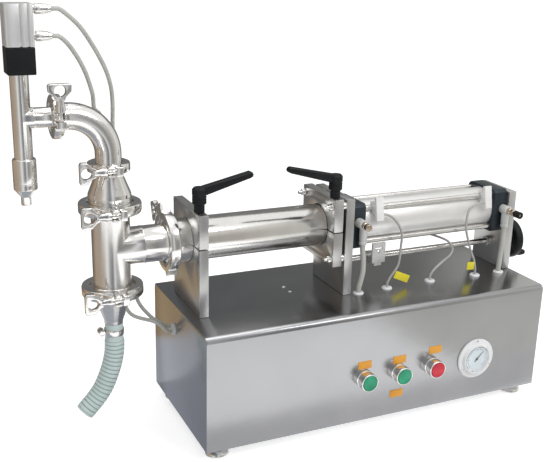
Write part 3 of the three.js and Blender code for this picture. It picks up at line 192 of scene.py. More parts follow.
TUBE_END = ARM_HEIGHT - NOZZLE_DROP
SCREW_HEIGHT = LINE_HEIGHT - SCREW_DROP
CYLINDER_LINE = (0, LINE_SETBACK, LINE_HEIGHT)
TEE_LINE = (TEE_PLACE, LINE_SETBACK, 0)
SCREW_LINE = (0, LINE_SETBACK, SCREW_HEIGHT)
CAP_FRONT = LINE_SETBACK - CAP_SIDE / 2
CARRIER_PLACE = BARREL_START + 29.2
FRONT_PORT = (FRONT_CAP_START + 17.5, LINE_HEIGHT + 8)
REAR_PORT = (REAR_CAP_END - 8.2, LINE_HEIGHT + 3.5)
FRONT_OUTLET = (4, 35)
REAR_OUTLET = (0, 31)
BANJO_LENGTH = 18
SCREW_HEAD = 16
FITTING_START = NOZZLE_PLACE + ACTUATOR_SHIFT + ACTUATOR_SIDE / 2
FITTING_REACH = 26
FITTING_HEIGHTS = (ACTUATOR_FOOT + 12.5, ACTUATOR_FOOT + 48)
SPIGOT_SHOULDER = LOWER_JOINT - 55.5
PICKUPS = {"front": BARREL_START + 21.5, "lower": BARREL_START + BARREL_LENGTH * 0.537,
           "rear": BARREL_END - 18.4}
PICKUP_WIDTH = 14
PICKUP_FACE = LINE_SETBACK - TIE_ROD_OFFSET - 16.95
GROMMETS = {
    "front tube": (FRONT_PORT[0] - 3.5, LINE_SETBACK - 54.4),
    "rear tube": (REAR_PORT[0] - 7.7, LINE_SETBACK - 53.6),
    "front cable": (PICKUPS["front"] + 17.9, LINE_SETBACK - 51.4),
    "lower cable": (PICKUPS["lower"] - 10.9, LINE_SETBACK - 48.5),
    "rear cable": (PICKUPS["rear"] - 20.7, LINE_SETBACK - 53.1),
}


# Camera
CAMERA_PLACE = (-401.6, -1085.9, 734.1)
CAMERA_YAW = math.radians(-24.78)
CAMERA_RISE = math.radians(17.43)
CAMERA_ROLL = math.radians(1.35)
CAMERA_LENS = 58.22
SENSOR_WIDTH = 36


def photo_camera():
    """The photograph's viewpoint, rolled a little about its line of sight."""
    back = Vector((
        math.sin(CAMERA_YAW) * math.cos(CAMERA_RISE),
        -math.cos(CAMERA_YAW) * math.cos(CAMERA_RISE),
        math.sin(CAMERA_RISE),
    ))
    level = Vector((math.cos(CAMERA_YAW), math.sin(CAMERA_YAW), 0))
    upright = back.cross(level)
    right = level * math.cos(CAMERA_ROLL) + upright * math.sin(CAMERA_ROLL)
    up = upright * math.cos(CAMERA_ROLL) - level * math.sin(CAMERA_ROLL)
    begin()
    bpy.ops.object.camera_add()
    camera = bpy.context.object
    camera.name = "photo_camera"
    turn = Matrix((right, up, back)).transposed()
    camera.matrix_world = Matrix.Translation(at(*CAMERA_PLACE)) @ turn.to_4x4()
    camera.data.lens = CAMERA_LENS
    camera.data.sensor_width = SENSOR_WIDTH
    camera.data.clip_start = 0.05
    camera.data.clip_end = 60
    bpy.context.scene.camera = camera


# Shaping
def begin():
    """Object mode with nothing selected."""
    if bpy.context.object and bpy.context.object.mode != "OBJECT":
        bpy.ops.object.mode_set(mode="OBJECT")
    bpy.ops.object.select_all(action="DESELECT")


def take(piece, *others):
    """Selects pieces, with the first one active."""
    begin()
    for each in (piece, *others):
        each.select_set(True)
    bpy.context.view_layer.objects.active = piece


def named(name):
    """Names the piece that an operator has just made."""
    piece = bpy.context.object
    piece.name = name
    piece.data.name = name
    return piece


def shape_edit(piece):
    """Edit mode with the whole of a piece selected."""
    take(piece)
    bpy.ops.object.mode_set(mode="EDIT")
    bpy.ops.mesh.select_mode(type="VERT")
    bpy.ops.mesh.select_all(action="SELECT")


def close_edit():
    """Welds doubles, drops loose edges, turns faces outwards and leaves edit mode."""
    bpy.ops.mesh.select_all(action="SELECT")
    bpy.ops.mesh.remove_doubles(threshold=0.00001)
    bpy.ops.mesh.delete_loose(use_verts=True, use_edges=True, use_faces=False)
    bpy.ops.mesh.select_all(action="SELECT")
    bpy.ops.mesh.normals_make_consistent(inside=False)
    bpy.ops.object.mode_set(mode="OBJECT")


def choose(piece, kind, test):
    """Selects the faces or edges of a piece, in edit mode, that pass a test."""
    bpy.ops.mesh.select_mode(type=kind)
    bpy.ops.mesh.select_all(action="DESELECT")
    bpy.ops.object.mode_set(mode="OBJECT")
    mesh = piece.data
    parts = mesh.polygons if kind == "FACE" else mesh.edges
    for part in parts:
        part.select = test(part, [mesh.vertices[i].co for i in part.vertices])
    bpy.ops.object.mode_set(mode="EDIT")


def modified(piece, kind, **values):
    """Adds a modifier to a piece, sets it and applies it."""
    take(piece)
    bpy.ops.object.modifier_add(type=kind)
    modifier = piece.modifiers[-1]
    for key, value in values.items():
        setattr(modifier, key, value)
    bpy.ops.object.modifier_apply(modifier=modifier.name)
    return piece


def softened(piece, width=0.6, segments=2, angle=32):
    """Rounds the edges that are sharper than an angle and smooths the rest."""
    if width:
        modified(piece, "BEVEL", width=width * MM, segments=segments,
                 limit_method="ANGLE", angle_limit=math.radians(angle))
    take(piece)
    bpy.ops.object.shade_smooth_by_angle(angle=math.radians(angle + 4))
    return piece


def combined(piece, tool, operation="UNION", solver="EXACT"):
    """Adds or subtracts a tool, which is used up."""
    modified(piece, "BOOLEAN", object=tool, operation=operation, solver=solver)
    bpy.data.objects.remove(tool, do_unlink=True)
    return piece


def cut(piece, *tools, solver="EXACT"):
    """Subtracts tools, which are used up."""
    for tool in tools:
        combined(piece, tool, "DIFFERENCE", solver)
    return piece


def together(name, *parts):
    """Several closed parts as one piece."""
    take(*parts)
    bpy.ops.object.join()
    return named(name)


def moved(piece, matrix):
    """Moves or turns a piece in its own mesh."""
    piece.data.transform(matrix)
    return piece


def copied(piece, name, offset):
    """A copy with its own mesh, at an offset in millimetres."""
    take(piece)
    bpy.ops.object.duplicate()
    return moved(named(name), Matrix.Translation(Vector(offset) * MM))


def about(place, degrees, axis):
    """A turn about an axis through a place in millimetres."""
    middle = at(*place)
    turn = Matrix.Rotation(math.radians(degrees), 4, axis)
    return Matrix.Translation(middle) @ turn @ Matrix.Translation(-middle)


def around(middle, width):
    """Limits on both sides of a middle."""
    return (middle - width / 2, middle + width / 2)


def past(ends):
    """Limits that run past both ends, for a cut."""
    return (ends[0] - OVERRUN, ends[1] + OVERRUN)


ALONG = {"x": Vector((1, 0, 0)), "y": Vector((0, 1, 0)), "z": Vector((0, 0, 1))}
OUTWARD = {"x": Vector((0, 0, 1)), "y": Vector((1, 0, 0)), "z": Vector((1, 0, 0))}


def turned(name, axis, outline, centre, steps=64):
    """A closed outline of (along, radius) corners from a centre, spun about an axis."""
    begin()
    bpy.ops.mesh.primitive_circle_add(
        vertices=len(outline), fill_type="NOTHING", location=(0, 0, 0))
    piece = named(name)
    middle = at(*centre)
    for corner, (along, radius) in zip(piece.data.vertices, outline):
        corner.co = middle + (ALONG[axis] * along + OUTWARD[axis] * radius) * MM
    shape_edit(piece)
    bpy.ops.mesh.spin(steps=steps, angle=2 * math.pi, center=middle, axis=ALONG[axis])
    close_edit()
    return piece


def bar(name, axis, radius, ends, centre, steps=64):
    """A plain round bar, as a tool or as a start."""
    low, high = ends
    return turned(name, axis, [(low, 0), (low, radius), (high, radius), (high, 0)], centre, steps)


def block(name, x, y, z):
    """A block between its limits along X, Y and Z."""
    low, high = at(x[0], y[0], z[0]), at(x[1], y[1], z[1])
    begin()
    bpy.ops.mesh.primitive_cube_add(size=1, location=(low + high) / 2, scale=high - low)
    piece = named(name)
    bpy.ops.object.transform_apply(location=True, rotation=True, scale=True)
    return piece


def plate(name, outline, thickness):
    """A flat outline of places, extruded by a vector in millimetres."""
    begin()
    bpy.ops.mesh.primitive_circle_add(
        vertices=len(outline), fill_type="NGON", location=(0, 0, 0))
    piece = named(name)
    for corner, place in zip(piece.data.vertices, outline):
        corner.co = at(*place)
    shape_edit(piece)
    bpy.ops.mesh.extrude_region_move(
        TRANSFORM_OT_translate={"value": Vector(thickness) * MM})
    close_edit()
    return piece


def fitted(piece, finish, body="frame", nodes=(), spare=None):
    """Gives a finished piece its material, its body and the nodes it stands for."""
    kinds = [face.material_index for face in piece.data.polygons]
    piece.data.materials.clear()
    piece.data.materials.append(finish)
    if spare:
        piece.data.materials.append(spare)
        piece.data.polygons.foreach_set("material_index", kinds)
    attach(piece, body)
    if nodes:
        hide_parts(*nodes)
    return piece


# Finishes
SOCKETS = {float: "NodeSocketFloat", tuple: "NodeSocketVector"}


def effect(name, inputs, outputs):
    """An empty node group with named inputs and outputs, and its two end nodes."""
    group = bpy.data.node_groups.new(name, "ShaderNodeTree")
    for label, value in inputs.items():
        socket = group.interface.new_socket(
            name=label, in_out="INPUT", socket_type=SOCKETS[type(value)])
        socket.default_value = value
    for label in outputs:
        group.interface.new_socket(
            name=label, in_out="OUTPUT", socket_type="NodeSocketFloat")
    return group, group.nodes.new("NodeGroupInput"), group.nodes.new("NodeGroupOutput")


NOISE_ROUGHNESS = 0.6
NOISE_RANGE = (0.3, 0.7)
BUMP_STRENGTH = 0.5
METAL_CLOUD = 14.0
PLASTIC_CLOUD = 30.0
CLEAR_CLOUD = 40.0


def feed(tree, source, socket):
    """Links a socket to a source, or sets it to a number."""
    if isinstance(source, bpy.types.NodeSocket):
        tree.links.new(source, socket)
    else:
        socket.default_value = source


def calculated(tree, operation, first, second):
    """A Math node on two sources."""
    node = tree.nodes.new("ShaderNodeMath")
    node.operation = operation
    feed(tree, first, node.inputs[0])
    feed(tree, second, node.inputs[1])
    return node.outputs[0]


def noise_over(group, scale, detail):
    """Noise on Object coordinates, stretched by a vector socket."""
    place = group.nodes.new("ShaderNodeTexCoord")
    stretch = group.nodes.new("ShaderNodeVectorMath")
    stretch.operation = "MULTIPLY"
    noise = group.nodes.new("ShaderNodeTexNoise")
    noise.inputs["Scale"].default_value = 1
    noise.inputs["Detail"].default_value = detail
    noise.inputs["Roughness"].default_value = NOISE_ROUGHNESS
    group.links.new(place.outputs["Object"], stretch.inputs[0])
    group.links.new(scale, stretch.inputs[1])
    group.links.new(stretch.outputs[0], noise.inputs["Vector"])
    return noise.outputs["Fac"]


def spread(group, value, low, high):
    """Maps noise, which stays near its middle, onto a range."""
    mapped = group.nodes.new("ShaderNodeMapRange")
    least, most = NOISE_RANGE
    for label, source in (("Value", value), ("From Min", least), ("From Max", most),
                          ("To Min", low), ("To Max", high)):
        feed(group, source, mapped.inputs[label])
    return mapped.outputs["Result"]


def make_grain():
    """Fine lines of brushed or drawn metal, long where the stretch is small."""
    group, start, end = effect("metal_grain", {"Stretch": (10.0, 900.0, 900.0)}, ["Height"])
    group.links.new(noise_over(group, start.outputs["Stretch"], 3), end.inputs["Height"])
    return group


def make_handling():
    """Cloudy smears left by cleaning cloths and hands."""
    group, start, end = effect(
        "handling_smears", {"Size": (14.0, 14.0, 14.0), "Roughness": 0.3, "Spread": 0.05},
        ["Roughness", "Tone"])
    cloud = noise_over(group, start.outputs["Size"], 4)
    gloss, vary = start.outputs["Roughness"], start.outputs["Spread"]
    low = calculated(group, "SUBTRACT", gloss, vary)
    high = calculated(group, "ADD", gloss, vary)
    group.links.new(spread(group, cloud, low, high), end.inputs["Roughness"])
    group.links.new(spread(group, cloud, 0.0, 1.0), end.inputs["Tone"])
    return group


def make_speckle():
    """Even moulded or blasted texture."""
    group, start, end = effect("fine_speckle", {"Size": (1500.0, 1500.0, 1500.0)}, ["Height"])
    group.links.new(noise_over(group, start.outputs["Size"], 2), end.inputs["Height"])
    return group


GRAIN, HANDLING, SPECKLE = make_grain(), make_handling(), make_speckle()


def placed(tree, group, **values):
    """A shared effect in a material, with its own values."""
    node = tree.nodes.new("ShaderNodeGroup")
    node.node_tree = group
    for label, value in values.items():
        node.inputs[label].default_value = value
    return node


def toned(tree, shader, dark, light, roughness, cloud, vary):
    """Smears that shift a surface between two tones and change its gloss."""
    smears = placed(tree, HANDLING, Size=(cloud,) * 3, Roughness=roughness, Spread=vary)
    tones = tree.nodes.new("ShaderNodeMix")
    tones.data_type = "RGBA"
    tones.inputs["A"].default_value = (*dark, 1)
    tones.inputs["B"].default_value = (*light, 1)
    tree.links.new(smears.outputs["Tone"], tones.inputs["Factor"])
    tree.links.new(tones.outputs["Result"], shader.inputs["Base Color"])
    tree.links.new(smears.outputs["Roughness"], shader.inputs["Roughness"])


def bumped(tree, shader, texture, depth):
    """Relief from a texture's height, with a depth in millimetres."""
    bump = tree.nodes.new("ShaderNodeBump")
    bump.inputs["Distance"].default_value = depth * MM
    bump.inputs["Strength"].default_value = BUMP_STRENGTH
    tree.links.new(texture.outputs["Height"], bump.inputs["Height"])
    tree.links.new(bump.outputs["Normal"], shader.inputs["Normal"])


def material(name, **sockets):
    """A material with its Principled shader's own sockets set."""
    finish = bpy.data.materials.new(name)
    finish.use_nodes = True
    shader = finish.node_tree.nodes["Principled BSDF"]
    for label, value in sockets.items():
        shader.inputs[label.replace("_", " ")].default_value = value
    return finish, finish.node_tree, shader


def metal(name, dark, light, roughness, stretch, depth, cloud=METAL_CLOUD, vary=0.04, bare=1.0):
    """Metal: grain lines, cloudy smears and a tone between two colours."""
    finish, tree, shader = material(name, Metallic=bare)
    toned(tree, shader, dark, light, roughness, cloud, vary)
    bumped(tree, shader, placed(tree, GRAIN, Stretch=stretch), depth)
    return finish


def moulded(name, dark, light, roughness, size, depth, metallic=0.0, shine=0.5):
    """Plastic, paint or blasted metal with an even texture."""
    finish, tree, shader = material(name, Metallic=metallic, Specular_IOR_Level=shine)
    toned(tree, shader, dark, light, roughness, PLASTIC_CLOUD, 0.05)
    bumped(tree, shader, placed(tree, SPECKLE, Size=(size,) * 3), depth)
    return finish


def clear(name, dark, light, roughness, transmission, ior=1.45):
    """Clear or translucent plastic, a little cloudy."""
    finish, tree, shader = material(name, Transmission_Weight=transmission, IOR=ior)
    toned(tree, shader, dark, light, roughness, CLEAR_CLOUD, 0.04)
    return finish


CABINET_STEEL = metal("cabinet_steel", (0.38, 0.385, 0.395), (0.44, 0.44, 0.45), 0.24,
                      (6.0, 900.0, 900.0), 0.003, 6.0, 0.03)
PLATE_STEEL = metal("plate_steel", (0.52, 0.52, 0.51), (0.62, 0.62, 0.62), 0.34,
                    (700.0, 700.0, 30.0), 0.006)
POLISHED_STEEL = metal("polished_steel", (0.76, 0.745, 0.72), (0.84, 0.83, 0.81), 0.17,
                       (300.0, 300.0, 300.0), 0.0004, 20.0, 0.03)
BARE_ALUMINIUM = metal("bare_aluminium", (0.79, 0.785, 0.77), (0.86, 0.855, 0.84), 0.32,
                       (8.0, 800.0, 800.0), 0.003, bare=0.42)
CARRIER_ALUMINIUM = metal("carrier_aluminium", (0.58, 0.58, 0.57), (0.68, 0.68, 0.67), 0.36,
                          (800.0, 12.0, 800.0), 0.004, bare=0.4)
ACTUATOR_ALUMINIUM = metal("actuator_aluminium", (0.70, 0.70, 0.70), (0.78, 0.78, 0.77), 0.3,
                           (800.0, 800.0, 12.0), 0.004, bare=0.5)
BLACK_ALUMINIUM = moulded("black_aluminium", (0.016, 0.024, 0.032), (0.03, 0.042, 0.052), 0.42,
                          1800.0, 0.03, 0.35)
BLACK_PLASTIC = moulded("black_plastic", (0.004, 0.005, 0.006), (0.009, 0.010, 0.012), 0.5,
                        1300.0, 0.04, shine=0.25)
WHITE_PLASTIC = moulded("white_plastic", (0.80, 0.81, 0.82), (0.87, 0.87, 0.88), 0.34, 600.0, 0.01)
GREY_PLASTIC = moulded("grey_plastic", (0.58, 0.59, 0.58), (0.68, 0.68, 0.67), 0.32, 600.0, 0.01)
BRIGHT_COVER = moulded("bright_cover", (0.80, 0.80, 0.79), (0.88, 0.88, 0.87), 0.22, 500.0, 0.005)
GREEN_LENS = moulded("green_lens", (0.0, 0.26, 0.12), (0.01, 0.42, 0.22), 0.18, 400.0, 0.12)
RED_LENS = moulded("red_lens", (0.50, 0.006, 0.02), (0.75, 0.02, 0.05), 0.18, 400.0, 0.12)
CLEAR_WINDOW = clear("clear_window", (0.93, 0.96, 0.97), (0.97, 0.98, 0.99), 0.03, 1.0)
CLEAR_TUBE = clear("clear_tube", (0.50, 0.50, 0.47), (0.60, 0.60, 0.56), 0.22, 0.08, 1.4)
HOSE_PLASTIC = clear("hose_plastic", (0.62, 0.75, 0.73), (0.72, 0.83, 0.81), 0.22, 0.06, 1.4)
HOSE_GROOVE = moulded("hose_groove", (0.25, 0.38, 0.35), (0.33, 0.46, 0.43), 0.35, 600.0, 0.005)
CABLE_GREY = moulded("cable_grey", (0.38, 0.38, 0.37), (0.48, 0.48, 0.46), 0.45, 900.0, 0.01)
BRASS = metal("brass", (0.50, 0.41, 0.32), (0.64, 0.55, 0.45), 0.25, (400.0, 400.0, 400.0), 0.002)
ORANGE_PLATE = moulded("orange_plate", (0.80, 0.33, 0.02), (0.88, 0.42, 0.04), 0.4, 900.0, 0.005)
YELLOW_TAG = moulded("yellow_tag", (0.80, 0.68, 0.02), (0.88, 0.78, 0.05), 0.4, 900.0, 0.005)
DIAL_WHITE = moulded("dial_white", (0.80, 0.87, 0.91), (0.86, 0.91, 0.94), 0.4, 900.0, 0.002)
DIAL_BLACK = moulded("dial_black", (0.05, 0.06, 0.07), (0.08, 0.09, 0.10), 0.5, 900.0, 0.002)


# Cords
def smooth_route(corners, spacing=6):
    """A centripetal curve through corner places, sampled about every few millimetres."""
    points = [Vector(corner) for corner in corners]
    ends = [points[0] * 2 - points[1], points[-1] * 2 - points[-2]]
    points = [ends[0], *points, ends[1]]
    line = []
    for a, b, c, d in zip(points, points[1:], points[2:], points[3:]):
        knots = [0]
        for start, stop in ((a, b), (b, c), (c, d)):
            knots.append(knots[-1] + max((stop - start).length, 0.0001) ** 0.5)
        t0, t1, t2, t3 = knots
        steps = max(1, round((c - b).length / spacing))
        for i in range(steps):
            t = t1 + (t2 - t1) * i / steps
            a1 = a * ((t1 - t) / (t1 - t0)) + b * ((t - t0) / (t1 - t0))
            a2 = b * ((t2 - t) / (t2 - t1)) + c * ((t - t1) / (t2 - t1))
            a3 = c * ((t3 - t) / (t3 - t2)) + d * ((t - t2) / (t3 - t2))
            b1 = a1 * ((t2 - t) / (t2 - t0)) + a2 * ((t - t0) / (t2 - t0))
            b2 = a2 * ((t3 - t) / (t3 - t1)) + a3 * ((t - t1) / (t3 - t1))
            line.append(b1 * ((t2 - t) / (t2 - t1)) + b2 * ((t - t1) / (t2 - t1)))
    line.append(points[-2])
    return [at(*place) for place in line]


def cord(name, node, corners, radius, finish):
    """A free tube or cable that leaves the object and goes back into it."""
    line = smooth_route(corners)
    begin()
    curve = bpy.data.curves.new(name, "CURVE")
    curve.dimensions = "3D"
    curve.bevel_depth = radius * MM
    curve.bevel_resolution = 5
    curve.use_fill_caps = True
    spline = curve.splines.new("POLY")
    spline.points.add(len(line) - 1)
    for point, place in zip(spline.points, line):
        point.co = (*place, 1)
    piece = bpy.data.objects.new(name, curve)
    bpy.context.collection.objects.link(piece)
    curve.materials.append(finish)
    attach(piece, "frame")
    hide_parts(node)
    return piece


CORD_FOOT = TABLE_TOP + GROMMET_HEIGHT + GAP
BANJO_BACK = CAP_FRONT - GAP
BANJO_FRONT = BANJO_BACK - BANJO_LENGTH
TUBE_LINE = (BANJO_BACK + BANJO_FRONT) / 2
FITTING_END = FITTING_START + FITTING_REACH + GAP
GLAND_MOUTH = -GLAND_LENGTH - GAP - GAP


def steps_from(place, steps):
    """Places given as steps away from one place."""
    return [tuple(a + b for a, b in zip(place, step)) for step in steps]


def mouth(name):
    """Where a cord meets its grommet."""
    return (*GROMMETS[name], CORD_FOOT)


def outlet(port, reach):
    """Where a tube leaves a port fitting."""
    return (port[0] + reach[0], TUBE_LINE, port[1] - reach[1] - GAP)


def make_cords():
    """Port tubes, air tubes and pickup cables, on the routes of their solids."""
    cord("front_port_tube_skin", "front_port_tube", [
        *steps_from(outlet(FRONT_PORT, FRONT_OUTLET), [(0, 0, 0), (0.3, 0, -8), (1.5, -2, -26)]),
        *steps_from(mouth("front tube"), [(7, 1.6, 32), (2.6, 0.4, 15), (0, 0, 6), (0, 0, 0)]),
    ], PORT_TUBE_RADIUS, CLEAR_TUBE)
    cord("rear_port_tube_skin", "rear_port_tube", [
        *steps_from(outlet(REAR_PORT, REAR_OUTLET), [(0, 0, 0), (0, 0, -10), (-1.5, -2, -30)]),
        *steps_from(mouth("rear tube"), [(3, 2.4, 26), (0.4, 0, 12), (0, 0, 6), (0, 0, 0)]),
    ], PORT_TUBE_RADIUS, CLEAR_TUBE)
    cord("upper_air_tube_skin", "upper_air_tube", [
        *steps_from((FITTING_END, LINE_SETBACK, FITTING_HEIGHTS[1]), [
            (0, 0, 0), (10, 0, 0), (20.8, 2, -7.3), (38.5, 5.5, -23.8), (55.2, 10.5, -47.7),
            (69, 17.5, -70.6), (79.3, 25.5, -91.1), (86.7, 34, -113.6), (90.1, 42, -137.1),
            (91, 49, -168.6), (92, 55, -203.1), (93.4, 59, -237.6), (95.3, 60, -277.1),
            (98.3, 59, -316.7), (103.2, 57, -356.3)]),
        *steps_from((0, *GLAND), [
            (-62, 37, 99), (-56, 29, 66), (-49.5, 21.5, 42), (-39, 14.5, 27), (-30, 9.4, 17.6),
            (-21.3, 6, 12), (-13.6, 4.6, 6.2), (-10.2, 4.3, 4.4), (GLAND_MOUTH, 4.2, 4)]),
    ], AIR_TUBE_RADIUS, CLEAR_TUBE)
    cord("lower_air_tube_skin", "lower_air_tube", [
        *steps_from((FITTING_END, LINE_SETBACK, FITTING_HEIGHTS[0]), [
            (0, 0, 0), (8, 0.2, -0.4), (20, 2.4, -10.2), (33.5, 7.4, -28.8), (43.8, 12.4, -47.6),
            (51.6, 18.4, -67), (57.6, 25.4, -85.8), (61.3, 33.4, -107.5), (68.8, 37, -114.3),
            (72.7, 47, -148.7), (75.6, 56, -178.2), (77.6, 63, -212.7), (78.5, 66, -247.2),
            (80.4, 66, -286.8), (84.3, 65, -326.4)]),
        *steps_from((0, *GLAND), [
            (-80, 45, 84), (-74, 32, 50), (-65.4, 16.2, 29.4), (-52.4, 9.2, 22.9),
            (-42.1, 3.2, 20.8), (-31.2, -0.8, 17.1), (-20, -3, 8), (-13.6, -3.8, 0.4),
            (-10.2, -3.8, -1.4), (GLAND_MOUTH, -3.8, -2)]),
    ], AIR_TUBE_RADIUS, CLEAR_TUBE)
    cord("front_cable_skin", "front_pickup_cable", [
        *steps_from((PICKUPS["front"], PICKUP_FACE, LINE_HEIGHT), [
            (PICKUP_WIDTH / 2 + GAP, 1.4, 19), (12, 1.4, 18.6), (24, 0.6, 13), (36.9, -0.9, -1.5),
            (43.2, -2.4, -17), (41.8, -3.9, -40)]),
        *steps_from(mouth("front cable"), [
            (19.5, 0.6, 34), (7, 0.2, 17), (0.8, 0, 7), (0, 0, 4), (0, 0, 0)]),
    ], CABLE_RADIUS, CABLE_GREY)
    cord("rear_cable_skin", "rear_pickup_cable", [
        *steps_from((PICKUPS["rear"], PICKUP_FACE, LINE_HEIGHT), [
            (-PICKUP_WIDTH / 2 - GAP, 1.4, 21), (-13, 1.4, 21), (-37, 0.6, 11.9),
            (-43.1, -1.4, -4.7), (-43.4, -2.9, -24.4), (-38.7, -4.4, -42.5)]),
        *steps_from(mouth("rear cable"), [
            (-9.9, 2, 39.1), (-3.7, 1, 24.9), (0, 0, 8), (0, 0, 0)]),
    ], CABLE_RADIUS, CABLE_GREY)
    cord("middle_cable_skin", "lower_pickup_cable", [
        *steps_from((PICKUPS["lower"], LINE_SETBACK + TIE_ROD_OFFSET, LINE_HEIGHT), [
            (0, -9.3, -37.2), (0, -14.4, -37.2), (9, -23, -39.5), (22, -34, -43), (36, -46, -48),
            (41.5, -52.9, -52.4), (44.8, -58.9, -62.5), (36.8, -63.9, -71.3)]),
        *steps_from(mouth("lower cable"), [
            (26.3, 6.9, 24.4), (5.6, 1.4, 13), (0, 0, 6.7), (0, 0, 0)]),
    ], CABLE_RADIUS, CABLE_GREY)


CABLE_TAGS = [((378, 82.4, 223.5), 24, (30, 13)), ((518, 81.6, 225.5), 4, (15, 14))]
TAG_THICKNESS = 0.7


def make_tags():
    """Bare tags on the two upper cables, by their middle, their lean and their size."""
    for i, (middle, lean, (width, height)) in enumerate(CABLE_TAGS):
        x, y, z = middle
        tag = block(f"cable_tag_{i + 1}", around(x, width), around(y, TAG_THICKNESS),
                    around(z, height))
        moved(softened(tag, 0.2), about(middle, lean, "Y"))
        fitted(tag, YELLOW_TAG)


HOSE_ROUTE = steps_from((TEE_PLACE, LINE_SETBACK, SPIGOT_SHOULDER), [
    (0, 0, -GAP), (0, 0, -16.2), (0, 0, -34), (-0.8, 0, -47.8), (-3.8, 0, -63.6),
    (-10.8, 0, -85.4), (-21.5, 0, -108.1), (-33.9, 0, -124.8), (-42.3, 0, -133.7),
    (-50.2, 0, -142.1)])
GROOVE_SHARES = (0.2, 0.88)


def hose_outline(length, pitch):
    """The straight hose: plain start, ribs, plain end and bore."""
    plain, groove = HOSE_RADIUS - HOSE_RIB_DEPTH, HOSE_RADIUS - HOSE_GROOVE_DEPTH
    shoulder = HOSE_RADIUS - HOSE_SHOULDER_DEPTH
    rib = [(0, groove), (0.15, groove), (0.3, shoulder), (0.45, HOSE_RADIUS), (0.7, HOSE_RADIUS),
           (0.85, shoulder)]
    outline = [(0, HOSE_BORE), (0, plain), (HOSE_PLAIN_START - 1, plain)]
    for i in range(HOSE_RIBS):
        start = HOSE_PLAIN_START + i * pitch
        outline += [(start + pitch * share, radius) for share, radius in rib]
    outline += [(length - HOSE_PLAIN_END, groove), (length, groove), (length, HOSE_BORE)]
    return outline + [(length * (8 - i) / 8, HOSE_BORE) for i in range(1, 8)]


def make_hose():
    """A ribbed hose, turned straight and then laid along its route."""
    line = smooth_route(HOSE_ROUTE, 2)
    reached = [0]
    for a, b in zip(line, line[1:]):
        reached.append(reached[-1] + (b - a).length)
    length = reached[-1] / MM
    pitch = (length - HOSE_PLAIN_START - HOSE_PLAIN_END) / HOSE_RIBS
    hose = turned("ribbed_hose", "z", hose_outline(length, pitch), (0, 0, 0), 40)
    start = at(0, 0, 0)
    skin = (HOSE_RADIUS - HOSE_RIB_DEPTH - 0.5) * MM
    for face in hose.data.polygons:
        middle = face.center - start
        rib = (middle.z / MM - HOSE_PLAIN_START) / pitch
        grooved = 0 < rib < HOSE_RIBS and not GROOVE_SHARES[0] < rib % 1 < GROOVE_SHARES[1]
        face.material_index = int(grooved and math.hypot(middle.x, middle.y) > skin)
    across = Vector((0, 1, 0))
    for vertex in hose.data.vertices:
        local = vertex.co - start
        along = min(max(local.z, 0), reached[-1] - 0.000001)
        i = max(k for k in range(len(line) - 1) if reached[k] <= along)
        heading = (line[i + 1] - line[i]).normalized()
        side = heading.cross(across).normalized()
        vertex.co = line[i] + heading * (along - reached[i]) + side * local.x + across * local.y
    shape_edit(hose)
    close_edit()
    fitted(softened(hose, 0, angle=60), HOSE_PLASTIC, nodes=["suction_hose"], spare=HOSE_GROOVE)


# Cabinet
NEAR = 0.00001
PANEL_HOLE = (-5, 8)
BUTTONS = [("start_button", "start_cap", GREEN_LENS), ("mode_button", "mode_cap", GREEN_LENS),
           ("stop_button", "stop_cap", RED_LENS)]
BUTTON_PLACES = [FIRST_BUTTON + i * BUTTON_PITCH for i in range(len(BUTTONS))]


def open_box(name, x, y, z, missing):
    """A block in edit mode, without its top (1) or its bottom (-1)."""
    box = block(name, x, y, z)
    shape_edit(box)
    choose(box, "FACE", lambda face, corners: face.normal.z * missing > 0.9)
    bpy.ops.mesh.delete(type="ONLY_FACE")
    return box


def make_shell():
    """The bent sheet, open below, with its panel holes."""
    shell = open_box("cabinet_sheet", (0, CABINET_LENGTH), (0, CABINET_WIDTH),
                     (FOOT_HEIGHT, TABLE_TOP), -1)
    top, foot = at(0, 0, TABLE_TOP).z, at(0, 0, FOOT_HEIGHT).z
    choose(shell, "EDGE", lambda edge, ends: all(abs(end.z - top) < NEAR for end in ends)
           and abs(ends[0].x - ends[1].x) > 0.1)
    bpy.ops.mesh.bevel(offset=CABINET_BEND * MM, segments=10, affect="EDGES")
    for side in (at(0, 0, 0).x, at(CABINET_LENGTH, 0, 0).x):
        choose(shell, "EDGE", lambda edge, ends: all(abs(end.x - side) < NEAR for end in ends)
               and not all(end.z < foot + NEAR for end in ends))
        bpy.ops.mesh.bevel(offset=1.2 * MM, segments=2, affect="EDGES")
    close_edit()
    modified(shell, "SOLIDIFY", thickness=SHEET_WALL * MM, offset=-1)
    holes = [bar("lens_hole", "y", LENS_RADIUS + 0.8, PANEL_HOLE, (x, 0, PANEL_HEIGHT))
             for x in BUTTON_PLACES]
    holes.append(bar("gauge_hole", "y", GAUGE_BODY_RADIUS + 0.5, PANEL_HOLE,
                     (GAUGE_PLACE, 0, GAUGE_HEIGHT)))
    cut(shell, *holes)
    fitted(softened(shell, 0, angle=24), CABINET_STEEL, nodes=["cabinet_shell"])


def make_tray():
    """The bottom tray, open above."""
    tray = open_box("bottom_tray", (TRAY_MARGIN, CABINET_LENGTH - TRAY_MARGIN),
                    (TRAY_MARGIN, CABINET_WIDTH - TRAY_MARGIN),
                    (FOOT_HEIGHT, FOOT_HEIGHT + TRAY_HEIGHT), 1)
    close_edit()
    modified(tray, "SOLIDIFY", thickness=SHEET_WALL * MM, offset=-1)
    fitted(softened(tray, 0.5), CABINET_STEEL, nodes=["base_tray"])


